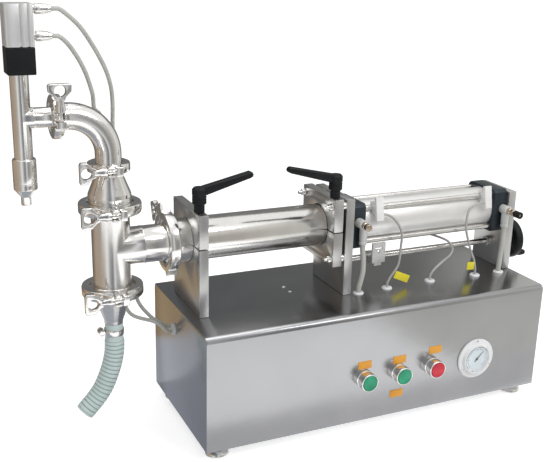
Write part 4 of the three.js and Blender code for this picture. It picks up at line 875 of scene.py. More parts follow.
def make_feet():
    """Four plated levelling feet with waisted stems."""
    foot = turned("round_foot_1", "z", [
        (0, 0), (0, 17.5), (1, FOOT_RADIUS), (4, FOOT_RADIUS), (6, 18), (9, 15.5), (10.5, 12),
        (12, 9), (14, 8), (FOOT_HEIGHT, 8), (FOOT_HEIGHT, 0),
    ], (FOOT_INSET, FOOT_INSET, 0), 48)
    softened(foot, 0.5)
    far, deep = CABINET_LENGTH - 2 * FOOT_INSET, CABINET_WIDTH - 2 * FOOT_INSET
    copies = [copied(foot, f"round_foot_{i + 2}", offset)
              for i, offset in enumerate([(far, 0, 0), (0, deep, 0), (far, deep, 0)])]
    for each in (foot, *copies):
        fitted(each, POLISHED_STEEL)


def make_grommets():
    """Round grommets in the table for the cables, and the gland in the left side."""
    for i, place in enumerate(GROMMETS.values()):
        ring = turned(f"cable_grommet_{i + 1}", "z", [
            (-1, 0), (-1, GROMMET_RADIUS), (1, GROMMET_RADIUS), (2.2, GROMMET_RADIUS - 1),
            (GROMMET_HEIGHT, GROMMET_RADIUS - 3), (GROMMET_HEIGHT, 5), (2.4, 4.6), (2.4, 0),
        ], (*place, TABLE_TOP), 40)
        fitted(softened(ring, 0.3), WHITE_PLASTIC)
    gland = turned("side_gland", "x", [
        (1, 0), (1, 10), (-1.5, 10), (-2, 9), (-GLAND_LENGTH + 1, 8.6), (-GLAND_LENGTH, 7.4),
        (-GLAND_LENGTH, 0),
    ], (0, *GLAND), 40)
    fitted(softened(gland, 0.3), GREY_PLASTIC)


def make_buttons():
    """Steel bezels with a groove and a sleeve, and domed lenses that sink into them."""
    front, well, neck, sleeve = -BUTTON_REACH, LENS_RADIUS + 0.4, 13.6, 13.4
    for i, (x, (node, body, finish)) in enumerate(zip(BUTTON_PLACES, BUTTONS)):
        centre = (x, 0, PANEL_HEIGHT)
        bezel = turned(f"button_bezel_{i + 1}", "y", [
            (7, well), (front + 0.6, well), (front, well + 0.5), (front, BUTTON_RADIUS - 0.8),
            (front + 1.2, BUTTON_RADIUS), (-10, BUTTON_RADIUS), (-9.4, neck), (-5.6, neck),
            (-5, BUTTON_RADIUS), (-0.02, BUTTON_RADIUS), (-0.02, sleeve), (30, sleeve), (30, 11),
            (7, 11),
        ], centre)
        fitted(softened(bezel, 0.25), POLISHED_STEEL)
        lens = turned(f"{node}_lens", "y", [
            (2.7, 0), (2.7, LENS_RADIUS), (front - 0.2, LENS_RADIUS),
            (front - 1.1, LENS_RADIUS - 1.1), (front - 0.9, LENS_RADIUS - 2.4),
            (front - 0.5, LENS_RADIUS - 3.2), (front - 1.2, 6), (front - 1.6, 0),
        ], centre)
        fitted(softened(lens, 0.2), finish, body, [node])


def screw_head(name, axis, side, radius, seat):
    """A domed screw head that stands off its seat along an axis."""
    rise = side * radius
    head = turned(name, axis, [
        (-side * 0.6, 0), (-side * 0.6, radius), (0, radius), (rise * 0.3, radius * 0.86),
        (rise * 0.5, radius * 0.45), (rise * 0.5, 0),
    ], seat, 24)
    return softened(head, 0.12)


def dial_marks(centre):
    """Plain marks over three quarters of the dial, each fifth one longer."""
    x, z = centre[0], centre[2]
    marks = []
    for i in range(31):
        reach = 4 if i % 5 == 0 else 2
        mark = block("dial_mark", (x + MARK_RING_RADIUS - reach, x + MARK_RING_RADIUS),
                     (GAUGE_DIAL - 0.45, GAUGE_DIAL - 0.2), around(z, 0.6))
        marks.append(moved(mark, about(centre, i * 9 - 225, "Y")))
    return together("gauge_dial_marks", *marks)


def make_gauge():
    """A flanged case with a sloped rim, its dial, needle, window and three screws."""
    x, z = GAUGE_PLACE, GAUGE_HEIGHT
    centre = (x, 0, z)
    case = turned("gauge_flange", "y", [
        (32, 0), (32, GAUGE_BODY_RADIUS), (-0.1, GAUGE_BODY_RADIUS), (-0.1, GAUGE_FLANGE_RADIUS),
        (-2.4, GAUGE_FLANGE_RADIUS), (-3.2, GAUGE_FLANGE_RADIUS - 1.5),
        (-3.2, GAUGE_DIAL_RADIUS + 2), (-6.2, GAUGE_DIAL_RADIUS + 0.6),
        (-8, GAUGE_DIAL_RADIUS - 0.4), (-8, GAUGE_DIAL_RADIUS - 2),
        (GAUGE_DIAL - 0.4, GAUGE_FACE_RADIUS), (GAUGE_DIAL, GAUGE_FACE_RADIUS), (GAUGE_DIAL, 0),
    ], centre, 80)
    fitted(softened(case, 0.3), WHITE_PLASTIC, nodes=["gauge_case"])
    fitted(bar("gauge_dial", "y", GAUGE_FACE_RADIUS, (GAUGE_DIAL, GAUGE_DIAL - 0.25), centre, 80),
           DIAL_WHITE)
    fitted(dial_marks(centre), DIAL_BLACK)
    back = GAUGE_DIAL - 1
    pointer = plate("gauge_needle", [
        (x - 6, back, z + 1), (x - 6, back, z - 1), (x + NEEDLE_REACH, back, z - 0.25),
        (x + NEEDLE_REACH, back, z + 0.25)], (0, -0.5, 0))
    hub = turned("needle_hub", "y", [
        (GAUGE_DIAL - 0.6, 0), (GAUGE_DIAL - 0.6, 2.2), (GAUGE_DIAL - 1.8, 2),
        (GAUGE_DIAL - 2, 0)], centre, 32)
    needle = moved(together("gauge_needle", pointer, hub), about(centre, -45, "Y"))
    fitted(softened(needle, 0), BLACK_PLASTIC, "pointer", ["gauge_pointer"])
    window = turned("gauge_glass", "y", [
        (-6.6, 0), (-6.6, 21.8), (-7.6, 22.8), (-8, 22.4), (-8, 0)], centre, 80)
    fitted(softened(window, 0), CLEAR_WINDOW, nodes=["gauge_window"])
    for i, angle in enumerate((90, 215, 332)):
        turn = math.radians(angle)
        seat = (x + 31 * math.cos(turn), -3.1, z + 31 * math.sin(turn))
        fitted(screw_head(f"gauge_screw_{i + 1}", "y", -1, 2.6, seat), POLISHED_STEEL)


PANEL_PLATES = [(265.9, 118.5), (330.4, 116.8), (398.3, 122.5), (327.8, 57.2)]
TABLE_SCREWS = [(192.2, 151.3), (193.2, 129)]


def make_panel_trim():
    """Bare plates beside the buttons, and two screws in the table."""
    for i, (x, z) in enumerate(PANEL_PLATES):
        tag = block(f"panel_plate_{i + 1}", around(x, 24), (-0.7, 0.1), around(z, 13))
        fitted(softened(tag, 0.3), ORANGE_PLATE)
    for i, place in enumerate(TABLE_SCREWS):
        fitted(screw_head(f"table_screw_{i + 1}", "z", 1, 3.2, (*place, TABLE_TOP)), POLISHED_STEEL)


# Plates
STAYS = [(LINE_SETBACK + side * (REAR_BLOCK_WIDTH / 2 - 7), LINE_HEIGHT + rise)
         for side in (-1, 1) for rise in (12 - REAR_BLOCK_DROP, REAR_BLOCK_RISE - 12)]
STAY_RADIUS = 3


def split_block(name, x, width, z, nodes, stays=()):
    """A block bored for the filling cylinder and slit at its middle."""
    halves = [
        (f"{name}_lower_half", (z[0], LINE_HEIGHT - CLAMP_SLIT / 2)),
        (f"{name}_upper_half", (LINE_HEIGHT + CLAMP_SLIT / 2, z[1])),
    ]
    for (half_name, height), node in zip(halves, nodes):
        half = block(half_name, x, around(LINE_SETBACK, width), height)
        cut(half, bar("bore", "x", FILL_RADIUS + GAP, past(x), CYLINDER_LINE, 96),
            bar("stud_hole", "z", STUD_RADIUS + GAP, (LINE_HEIGHT - STUD_DROP - 1, z[1] + OVERRUN),
                ((x[0] + x[1]) / 2, STUD_SETBACK, 0), 24))
        for y, level in stays:
            cut(half, bar("stay_hole", "x", STAY_RADIUS + GAP, past(x), (0, y, level), 24))
        fitted(softened(half, 0.9), PLATE_STEEL, nodes=[node])


def make_stays():
    """Stay bolts with their nuts, and the spacers between block and plate."""
    nut_end = REAR_BLOCK_START - GAP
    bolt_end = CYLINDER_PLATE_START + 1 - nut_end
    gap_start, gap_end = REAR_BLOCK_END + GAP, CYLINDER_PLATE_START
    for i, (y, z) in enumerate(STAYS):
        seat = (nut_end, y, z)
        bolt = turned(f"stay_bolt_{i + 1}", "x", [
            (-12.7, 0), (-12.7, 2.4), (-12, STAY_RADIUS), (bolt_end, STAY_RADIUS), (bolt_end, 0),
        ], seat, 24)
        nut = turned("nut", "x", [(-7, 0), (-7, 5), (-6.2, 6), (0, 6), (0, 0)], seat, 6)
        spacer = bar("spacer", "x", 6.5, (gap_start, gap_end), (0, y, z), 32)
        stay = together(f"stay_bolt_{i + 1}", bolt, nut, spacer)
        fitted(softened(stay, 0.2), POLISHED_STEEL)


def make_plates():
    """The two split blocks and the two plates that hold the air cylinder."""
    split_block("front_post", (FRONT_POST_START, FRONT_POST_START + POST_THICKNESS),
                FRONT_POST_WIDTH, (POST_FOOT, POST_TOP), ["front_post", "front_post_cap"])
    split_block("rear_block", (REAR_BLOCK_START, REAR_BLOCK_END), REAR_BLOCK_WIDTH,
                (LINE_HEIGHT - REAR_BLOCK_DROP, LINE_HEIGHT + REAR_BLOCK_RISE),
                ["rear_block", "rear_block_cap"], STAYS)
    thickness = (CYLINDER_PLATE_START, CYLINDER_PLATE_END)
    front = block("cylinder_post", thickness, around(LINE_SETBACK, CYLINDER_PLATE_WIDTH),
                  (POST_FOOT, POST_TOP))
    cut(front, bar("nose_bore", "x", NOSE_BORE, past(thickness), CYLINDER_LINE))
    fitted(softened(front, 0.9), PLATE_STEEL, nodes=["cylinder_plate"])
    make_stays()
    rear = block("rear_post", (REAR_PLATE_START, REAR_PLATE_END),
                 around(LINE_SETBACK, REAR_PLATE_WIDTH), (POST_FOOT, LINE_HEIGHT + REAR_PLATE_RISE))
    fitted(softened(rear, 0.9), PLATE_STEEL, nodes=["rear_plate"])


# Levers
def make_lever(name, body, node, x, top, side):
    """A clamping lever: ribbed hub, stud and a raised arm with a bevelled tip."""
    seat, hub_height, width = top + GAP, 38, 13
    stud_end = LINE_HEIGHT - STUD_DROP - seat
    outline = [(stud_end, 0), (stud_end, STUD_RADIUS), (0, STUD_RADIUS), (0, 8), (12, 8), (13, 10)]
    for i in range(3):
        outline += [(14 + i * 4 + step, radius)
                    for step, radius in ((0, 10.8), (2.2, 10.8), (2.8, 10.2), (3.4, 10.2))]
    outline += [(27, 11), (35, 11), (hub_height, 8.5), (hub_height, 0)]
    hub = turned(name, "z", outline, (x, STUD_SETBACK, seat), 40)
    arm = plate("arm", [
        (x + side * along, STUD_SETBACK - width / 2, seat + hub_height + rise) for along, rise in [
            (0, -15), (80, 8), (84, 10), (85, 13), (83.5, 16.5), (80, 18), (0, 0)]
    ], (0, width, 0))
    modified(arm, "BEVEL", width=2.6 * MM, segments=4, limit_method="ANGLE",
             angle_limit=math.radians(50))
    fitted(softened(together(name, hub, arm), 0), BLACK_PLASTIC, body, [node])


# Air cylinder
def cap_block(name, ends):
    """A cylinder head: a square block with its long edges cut off."""
    half, short = CAP_SIDE / 2, CAP_SIDE / 2 - 5
    corners = [(short, -half), (half, -short), (half, short), (short, half),
               (-short, half), (-half, short), (-half, -short), (-short, -half)]
    outline = [(ends[0], LINE_SETBACK + out, LINE_HEIGHT + rise) for rise, out in corners]
    return plate(name, outline, (ends[1] - ends[0], 0, 0))


def make_air_cylinder():
    """Heads, tube and tie rods, and the pickup under the far lower rod."""
    for name, ends, node in (
            ("air_cylinder_front_head", (FRONT_CAP_START, FRONT_CAP_END), "air_front_cap"),
            ("air_cylinder_rear_head", (REAR_CAP_START, REAR_CAP_END), "air_rear_cap")):
        fitted(softened(cap_block(name, ends), 1.2, 3), BLACK_ALUMINIUM, nodes=[node])
    bore = BARREL_RADIUS - BARREL_WALL
    barrel = turned("air_cylinder_tube", "x", [
        (BARREL_START, bore), (BARREL_START, BARREL_RADIUS), (BARREL_END, BARREL_RADIUS),
        (BARREL_END, bore)], CYLINDER_LINE, 96)
    fitted(softened(barrel, 0.3), BARE_ALUMINIUM, nodes=["air_barrel"])
    for i, (out, rise) in enumerate([(-1, -1), (-1, 1), (1, -1), (1, 1)]):
        rod = bar(f"tie_rod_{i + 1}", "x", TIE_ROD_RADIUS, (FRONT_CAP_END - 1, REAR_CAP_START + 1),
                  (0, LINE_SETBACK + out * TIE_ROD_OFFSET, LINE_HEIGHT + rise * TIE_ROD_OFFSET), 32)
        fitted(softened(rod, 0), POLISHED_STEEL)
    x, rod_height = PICKUPS["lower"], LINE_HEIGHT - TIE_ROD_OFFSET
    lower = block("lower_pickup", around(x, 24), around(LINE_SETBACK + TIE_ROD_OFFSET, 18),
                  (rod_height - 13, rod_height + 4.5))
    cut(lower, bar("tube_way", "x", BARREL_RADIUS + GAP, around(x, 40), CYLINDER_LINE))
    fitted(softened(lower, 0.8), BRIGHT_COVER)


def make_pickup(name, x, node):
    """A pickup's leaning housing and the clip that grips the tie rod."""
    y, z = LINE_SETBACK - TIE_ROD_OFFSET, LINE_HEIGHT + TIE_ROD_OFFSET
    half, core = PICKUP_WIDTH / 2, PICKUP_FACE + 3
    face = block(name, around(x, PICKUP_WIDTH), (PICKUP_FACE, PICKUP_FACE + 6), around(z, 39))
    moved(softened(face, 1.0, 3), about((x, core, z), -10, "X"))
    combined(face, block("clip", (x - half, x + half - 6), (core, y + 4.5), around(z, 18)))
    cut(face, bar("tube_way", "x", BARREL_RADIUS + GAP, around(x, 40), CYLINDER_LINE),
        bar("rod_way", "x", TIE_ROD_RADIUS + GAP, around(x, 40), (0, y, z), 32))
    fitted(softened(face, 0.3), BRIGHT_COVER, nodes=[node])


def make_port_fitting(name, port, reach, node, has_knob):
    """A banjo body on the cap, its outlet pointing down and the throttle screw in front."""
    x, z = port
    front = -BANJO_LENGTH
    body = turned(name, "y", [
        (11, 0), (11, 5), (0, 5), (0, 7.6), (-0.6, 8), (front + 0.8, 8), (front, 7.4),
        (front, 4.6), (front - 1, 4.6), (front - 1, 0),
    ], (x, BANJO_BACK, z), 40)
    out, drop = reach
    socket = turned("socket", "z", [
        (0, 0), (0, 6), (1, 6.5), (5, 6.5), (5.6, 5.8), (7, 5.8), (7.6, 6.4), (drop, 6.4),
        (drop, 0),
    ], (x + out, TUBE_LINE, z - drop), 40)
    combined(body, socket)
    fitted(softened(body, 0.4), GREY_PLASTIC, nodes=[node])
    end = -SCREW_HEAD
    outline = [(0, 0), (0, 6), (-5, 6), (-5.6, 4.8), (-9.4, 4.8), (-10, 5.8), (end + 0.6, 5.8),
               (end, 5)]
    outline += [(end, 2.5), (end - 14, 2.5), (end - 14, 0)] if has_knob else [(end, 0)]
    screw = turned(f"{name}_screw", "y", outline, (x, BANJO_FRONT, z), 24)
    fitted(softened(screw, 0.25), BRASS)


def make_fittings():
    """Both port fittings, and the knob on the rear one."""
    make_port_fitting("front_elbow_fitting", FRONT_PORT, FRONT_OUTLET, "front_port_fitting", False)
    make_port_fitting("rear_elbow_fitting", REAR_PORT, REAR_OUTLET, "rear_port_fitting", True)
    knob = turned("throttle_knob", "y", [
        (0, 2.8), (0, 5.6), (-1, 6), (-5, 6), (-5.6, 5.5), (-9, 5.5), (-9.6, 6), (-14, 6),
        (-15, 5.2), (-15, 2.8),
    ], (REAR_PORT[0], BANJO_FRONT - SCREW_HEAD - GAP, REAR_PORT[1]), 24)
    fitted(softened(knob, 0.25), BLACK_PLASTIC, "throttle", ["rear_throttle_knob"])


# Stroke adjuster
CRANK_ANGLE = math.radians(243)
CRANK_ARM = 29.5
WHEEL_FACE = REAR_PLATE_END + 37
CRANK = (WHEEL_FACE, LINE_SETBACK + CRANK_ARM * math.cos(CRANK_ANGLE),
         SCREW_HEIGHT + CRANK_ARM * math.sin(CRANK_ANGLE))
CARRIER_WALL = 3.5


def make_handwheel():
    """The adjusting screw with its collar, the dished wheel and its crank handle."""
    collar = (REAR_PLATE_START - 7.3, REAR_PLATE_START - GAP)
    screw = turned("adjusting_screw", "x", [
        (CYLINDER_PLATE_END - 9.7, 0), (CYLINDER_PLATE_END - 9.7, SCREW_RADIUS),
        (collar[0], SCREW_RADIUS), (collar[0], 9), (collar[1], 9), (collar[1], SCREW_RADIUS),
        (REAR_PLATE_END + 22, SCREW_RADIUS), (REAR_PLATE_END + 22, 0),
    ], SCREW_LINE, 32)
    fitted(softened(screw, 0.4), POLISHED_STEEL, "adjuster")
    hub = REAR_PLATE_END - WHEEL_FACE
    rim = WHEEL_RADIUS - 0.6
    wheel = turned("stroke_handwheel", "x", [
        (hub + GAP, 0), (hub + GAP, 10), (hub + 1.3, 11), (-15, 12), (-9, 16), (-7, 26),
        (-10, 29), (-14, 30), (-15, 33), (-12, rim), (-7, WHEEL_RADIUS), (-2, rim), (0, 32),
        (-1, 29), (-3, 27), (-3, 14), (0, 11), (0, 0),
    ], (WHEEL_FACE, LINE_SETBACK, SCREW_HEIGHT), 72)
    pin = bar("crank_pin", "x", 3, (-4, 20), CRANK, 24)
    wheel = together("stroke_handwheel", wheel, pin)
    fitted(softened(wheel, 0.6), BLACK_PLASTIC, "adjuster", ["handwheel"])
    knob = turned("crank_handle", "x", [
        (GAP, 3.3), (GAP, 4.2), (2, 4.6), (10, 5.5), (17, 5.2), (20, 4.2), (20, 3.3)], CRANK, 32)
    fitted(softened(knob, 0.3), BLACK_PLASTIC, "crank", ["crank_knob"])


def make_carrier():
    """The slotted plate, its arm and the ring that runs along the screw."""
    x, top = CARRIER_PLACE, LINE_HEIGHT - TIE_ROD_OFFSET - GAP - 3.5
    front = LINE_SETBACK - 36.7
    thickness = (front, front + CARRIER_WALL)
    sheet = block("carrier_plate", around(x, 25), thickness, (top - 35, top))
    cut(sheet, bar("hole", "y", 2.6, past(thickness), (x, 0, top - 14.9), 24),
        block("slot", around(x, 14), past(thickness), (top - 11.35, top - 8.75)))
    ring = turned("ring", "x", [(x - 8, 5.3), (x - 8, 10), (x + 8, 10), (x + 8, 5.3)],
                  SCREW_LINE, 40)
    arm = block("arm", around(x, 14), (front + 2, LINE_SETBACK - 7), around(SCREW_HEIGHT, 10))
    carrier = together("stroke_carrier_plate", sheet, ring, arm)
    fitted(softened(carrier, 0.5), CARRIER_ALUMINIUM, "carrier", ["stroke_carrier"])


# Pipework
SEAL_HALF = 0.2
FERRULE_RIM = 2.85
FERRULE_SLOPE = 0.364
REDUCER_FOOT_RADIUS = 31.5
ARM_LINE = (0, LINE_SETBACK, ARM_HEIGHT)
NOZZLE_LINE = (NOZZLE_PLACE, LINE_SETBACK, 0)


def ferrule_back(size, radius):
    """How far the sloped back of a ferrule lies from the joint, at a radius."""
    return SEAL_HALF + (FERRULE_RIM + (size["rim"] - radius) * FERRULE_SLOPE)


def ferrule(size, joint, side, tube):
    """Corners of half a joint, from the tube out to the rim and to the joint's face."""
    rim, neck = size["rim"], ferrule_back(size, tube)
    return [(joint + side * reach, radius) for reach, radius in [
        (neck + 3, tube), (neck + 0.6, tube + 0.5), (ferrule_back(size, tube + 2), tube + 2),
        (SEAL_HALF + FERRULE_RIM, rim - 0.3), (SEAL_HALF + FERRULE_RIM - 0.5, rim),
        (SEAL_HALF, rim)]]


def weld(along, radius):
    """A low weld bead round a tube."""
    return [(along - 1.2, radius), (along - 0.5, radius + 0.35), (along + 0.5, radius + 0.35),
            (along + 1.2, radius)]


def pipe(name, axis, outer, inner, centre, steps=80):
    """A turned wall between outer corners and inner corners, both in order along the axis."""
    return turned(name, axis, [*outer, *reversed(inner)], centre, steps)


def make_filling_tube():
    """The filling cylinder with the ferrule on its front end."""
    bore = FILL_RADIUS - FILL_WALL
    tube = pipe("filling_tube", "x", [
        *reversed(ferrule(LARGE, BRANCH_JOINT, 1, FILL_RADIUS)),
        (REAR_BLOCK_END - 1, FILL_RADIUS), (REAR_BLOCK_END, FILL_RADIUS - 0.6),
    ], [(BRANCH_JOINT + SEAL_HALF, bore), (REAR_BLOCK_END, bore)], CYLINDER_LINE, 96)
    fitted(softened(tube, 0.25), POLISHED_STEEL, nodes=["filling_cylinder"])


def make_tee():
    """The upright run with its side branch, bored through, and the valve seat above.

    Where two bores meet, only the manifold solver leaves a closed mesh.
    """
    inside = TEE_RADIUS - PIPE_WALL
    run = turned("process_tee", "z", [
        (LOWER_JOINT + SEAL_HALF, 0), *reversed(ferrule(LARGE, LOWER_JOINT, 1, TEE_RADIUS)),
        *ferrule(LARGE, UPPER_JOINT, -1, TEE_RADIUS), (UPPER_JOINT - SEAL_HALF, 0),
    ], TEE_LINE, 80)
    branch = turned("branch", "x", [
        (TEE_PLACE, 0), (TEE_PLACE, TEE_RADIUS), *weld(BRANCH_JOINT - 42, TEE_RADIUS),
        *ferrule(LARGE, BRANCH_JOINT, -1, TEE_RADIUS), (BRANCH_JOINT - SEAL_HALF, 0),
    ], CYLINDER_LINE, 80)
    combined(run, branch, solver="MANIFOLD")
    cut(run, bar("run_bore", "z", inside, (LOWER_JOINT - OVERRUN, UPPER_JOINT - 3), TEE_LINE, 80),
        bar("seat_bore", "z", 18, (LINE_HEIGHT, UPPER_JOINT + OVERRUN), TEE_LINE, 80),
        bar("branch_bore", "x", inside, (TEE_PLACE, BRANCH_JOINT + OVERRUN), CYLINDER_LINE, 80),
        solver="MANIFOLD")
    fitted(softened(run, 0.25), POLISHED_STEEL, nodes=["tee"])


def make_reducer():
    """The cone from the tee's tube down to the elbow's."""
    foot = UPPER_JOINT + REDUCER_LENGTH * 0.35
    top = REDUCER_JOINT - REDUCER_LENGTH * 0.16
    wide, narrow = REDUCER_FOOT_RADIUS, ELBOW_RADIUS
    cone = pipe("reducer_cone", "z", [
        *reversed(ferrule(LARGE, UPPER_JOINT, 1, wide)), *weld(foot - 5, wide),
        (foot - 1, wide), (foot + 1, wide - 0.8), (top - 1, narrow + 0.6), (top + 1, narrow),
        *ferrule(SMALL, REDUCER_JOINT, -1, narrow),
    ], [(UPPER_JOINT + SEAL_HALF, wide - PIPE_WALL), (foot, wide - PIPE_WALL),
        (top, narrow - PIPE_WALL), (REDUCER_JOINT - SEAL_HALF, narrow - PIPE_WALL)], TEE_LINE)
    fitted(softened(cone, 0.25), POLISHED_STEEL, nodes=["reducer"])


def make_elbow():
    """Two straight ends and a quarter bend, spun about the bend's centre."""
    bore = ELBOW_RADIUS - PIPE_WALL
    bend_foot, bend_end = ARM_HEIGHT - ELBOW_BEND, TEE_PLACE - ELBOW_BEND
    foot = pipe("elbow_foot", "z", [
        *reversed(ferrule(SMALL, REDUCER_JOINT, 1, ELBOW_RADIUS)), (bend_foot, ELBOW_RADIUS),
    ], [(REDUCER_JOINT + SEAL_HALF, bore), (bend_foot, bore)], TEE_LINE, 48)
    nose = pipe("elbow_mouth", "x", [
        *reversed(ferrule(SMALL, ARM_JOINT, 1, ELBOW_RADIUS)), (bend_end, ELBOW_RADIUS),
    ], [(ARM_JOINT + SEAL_HALF, bore), (bend_end, bore)], ARM_LINE, 48)
    begin()
    bpy.ops.mesh.primitive_circle_add(
        vertices=48, radius=ELBOW_RADIUS * MM, fill_type="NOTHING",
        location=at(TEE_PLACE, LINE_SETBACK, bend_foot))
    bend = named("elbow_bend")
    bpy.ops.object.transform_apply(location=True, rotation=True, scale=True)
    shape_edit(bend)
    bpy.ops.mesh.spin(steps=24, angle=math.pi / 2, axis=(0, 1, 0),
                      center=at(bend_end, LINE_SETBACK, bend_foot))
    close_edit()
    elbow = together("pipe_elbow", foot, nose, bend)
    fitted(softened(elbow, 0.2), POLISHED_STEEL, nodes=["elbow"])


def make_nozzle_body():
    """The upright nozzle tube and its welded side arm."""
    top = ADAPTER_FOOT - GAP
    body = bar("nozzle_tube", "z", NOZZLE_RADIUS, (TUBE_END, top), NOZZLE_LINE)
    arm = turned("arm", "x", [
        (NOZZLE_PLACE, 0), (NOZZLE_PLACE, ARM_RADIUS),
        *weld(NOZZLE_PLACE + NOZZLE_RADIUS + 2, ARM_RADIUS),
        *ferrule(SMALL, ARM_JOINT, -1, ARM_RADIUS), (ARM_JOINT - SEAL_HALF, 0),
    ], ARM_LINE, 64)
    combined(body, arm, solver="MANIFOLD")
    cut(body, bar("bore", "z", NOZZLE_RADIUS - PIPE_WALL, past((TUBE_END, top)), NOZZLE_LINE),
        bar("arm_bore", "x", ARM_RADIUS - PIPE_WALL, (NOZZLE_PLACE, ARM_JOINT + OVERRUN), ARM_LINE),
        solver="MANIFOLD")
    fitted(softened(body, 0.3), POLISHED_STEEL, nodes=["nozzle_body"])


def make_nozzle_tip():
    """The outlet: a spout, a cone and a grooved collar that takes the nozzle tube."""
    collar, socket = 23.5, TIP_LENGTH - 22 - GAP
    inner, outer = NOZZLE_RADIUS + GAP, TIP_RADIUS - 0.8
    tip = turned("nozzle_mouth", "z", [
        (0, 5), (0, 6.5), (0.8, 7.3), (12, 7.3), (13, 7.8), (collar - 0.6, 15.6),
        (collar, TIP_RADIUS), (collar + 7.6, TIP_RADIUS), (collar + 8, outer), (collar + 9, outer),
        (collar + 9.4, TIP_RADIUS), (TIP_LENGTH - 2.4, TIP_RADIUS), (TIP_LENGTH - 0.6, outer),
        (TIP_LENGTH, TIP_RADIUS - 2), (TIP_LENGTH, inner), (socket, inner), (socket, 10.7),
        (29, 10.7), (18, 5),
    ], (NOZZLE_PLACE, LINE_SETBACK, TUBE_END + 22 - TIP_LENGTH), 64)
    fitted(softened(tip, 0.2), POLISHED_STEEL, nodes=["nozzle_tip"])


def make_actuator():
    """The adapter block, the grooved actuator and its two push-in fittings."""
    half, middle = ACTUATOR_SIDE / 2, NOZZLE_PLACE + ACTUATOR_SHIFT
    x, y = around(middle, ACTUATOR_SIDE), around(LINE_SETBACK, ACTUATOR_SIDE)
    adapter = block("valve_adapter", x, y, (ADAPTER_FOOT, ADAPTER_FOOT + ADAPTER_HEIGHT))
    fitted(softened(adapter, 1.6, 4), BLACK_PLASTIC, nodes=["nozzle_adapter"])
    height = (ACTUATOR_FOOT, ACTUATOR_FOOT + ACTUATOR_HEIGHT)
    body = block("valve_actuator", x, y, height)
    shape_edit(body)
    choose(body, "EDGE", lambda edge, ends: abs(ends[0].z - ends[1].z) > 0.01)
    bpy.ops.mesh.bevel(offset=3 * MM, segments=4, affect="EDGES")
    close_edit()
    for groove in (NOZZLE_PLACE + 3, NOZZLE_PLACE + 13):
        for side in (-1, 1):
            cut(body, block("groove", around(groove, 3), around(LINE_SETBACK + side * half, 4.4),
                            past(height)))
    fitted(softened(body, 0.4), ACTUATOR_ALUMINIUM, nodes=["nozzle_actuator"])
    for i, z in enumerate(FITTING_HEIGHTS):
        fitting = turned(f"push_in_fitting_{i + 1}", "x", [
            (-1, 0), (-1, 5), (4, 5), (4.6, 6.6), (5.4, 6.8), (14, 6.8), (14.6, 6.2), (21, 6.2),
            (21.4, 5), (25.4, 5), (FITTING_REACH, 4.4), (FITTING_REACH, 0),
        ], (FITTING_START, LINE_SETBACK, z), 32)
        fitted(softened(fitting, 0.25), POLISHED_STEEL)


def make_spigot():
    """The hose tail below the tee, and the worm clamp on the hose."""
    shoulder, cone_foot, cone_top = SPIGOT_SHOULDER, LOWER_JOINT - 51.2, LOWER_JOINT - 10.2
    spigot = pipe("hose_tail", "z", [
        (shoulder - 32, 10), (shoulder - 31, 11), (shoulder - 0.1, 11), (shoulder, 14.2),
        (cone_foot, 14.5), (cone_foot + 1.5, 14.9), (cone_top - 1, TEE_RADIUS - 0.5),
        *ferrule(LARGE, LOWER_JOINT, -1, TEE_RADIUS)[1:],
    ], [(shoulder - 32, 8.5), (cone_foot, 8.5), (cone_top, 17), (LOWER_JOINT - SEAL_HALF, 17)],
        TEE_LINE)
    fitted(softened(spigot, 0.3), POLISHED_STEEL, nodes=["hose_spigot"])
    height, radius = shoulder - 14, HOSE_RADIUS - HOSE_RIB_DEPTH + GAP
    band = turned("worm_clamp", "z", [
        (-5, radius), (-5, radius + 0.8), (-4.4, radius + 1), (4.4, radius + 1),
        (5, radius + 0.8), (5, radius),
    ], (TEE_PLACE, LINE_SETBACK, height), 48)
    worm = turned("worm", "y", [
        (-15, 0), (-15, 4.8), (-12, 5.2), (-11.4, 4.4), (-3, 4.4), (-2.4, 5.2), (0, 4.8), (0, 0),
    ], (TEE_PLACE - radius - 5.8, LINE_SETBACK + 7.5, height + 1), 24)
    clamp = together("worm_clamp", band, worm)
    fitted(softened(clamp, 0.2), POLISHED_STEEL, nodes=["hose_clamp"])


# Quick clamps, each with its joint, its turns from lying flat and its nut's turn on the bolt
CLAMPS = [
    ("reducer", LARGE, (TEE_PLACE, LINE_SETBACK, UPPER_JOINT), [], 0),
    ("suction", LARGE, (TEE_PLACE, LINE_SETBACK, LOWER_JOINT), [], 0),
    ("elbow", SMALL, (TEE_PLACE, LINE_SETBACK, REDUCER_JOINT), [], 0),
    ("cylinder", LARGE, (BRANCH_JOINT, LINE_SETBACK, LINE_HEIGHT),
     [(-90, "X"), (-90, "Z"), (-22, "X")], 90),
    ("arm", SMALL, (ARM_JOINT, LINE_SETBACK, ARM_HEIGHT), [(90, "Y")], 0),
]


def clamp_turn(joint, turns):
    """Turns a clamp made flat about its joint, one axis after the other."""
    whole = Matrix.Identity(4)
    for degrees, axis in turns:
        whole = about(joint, degrees, axis) @ whole
    return whole


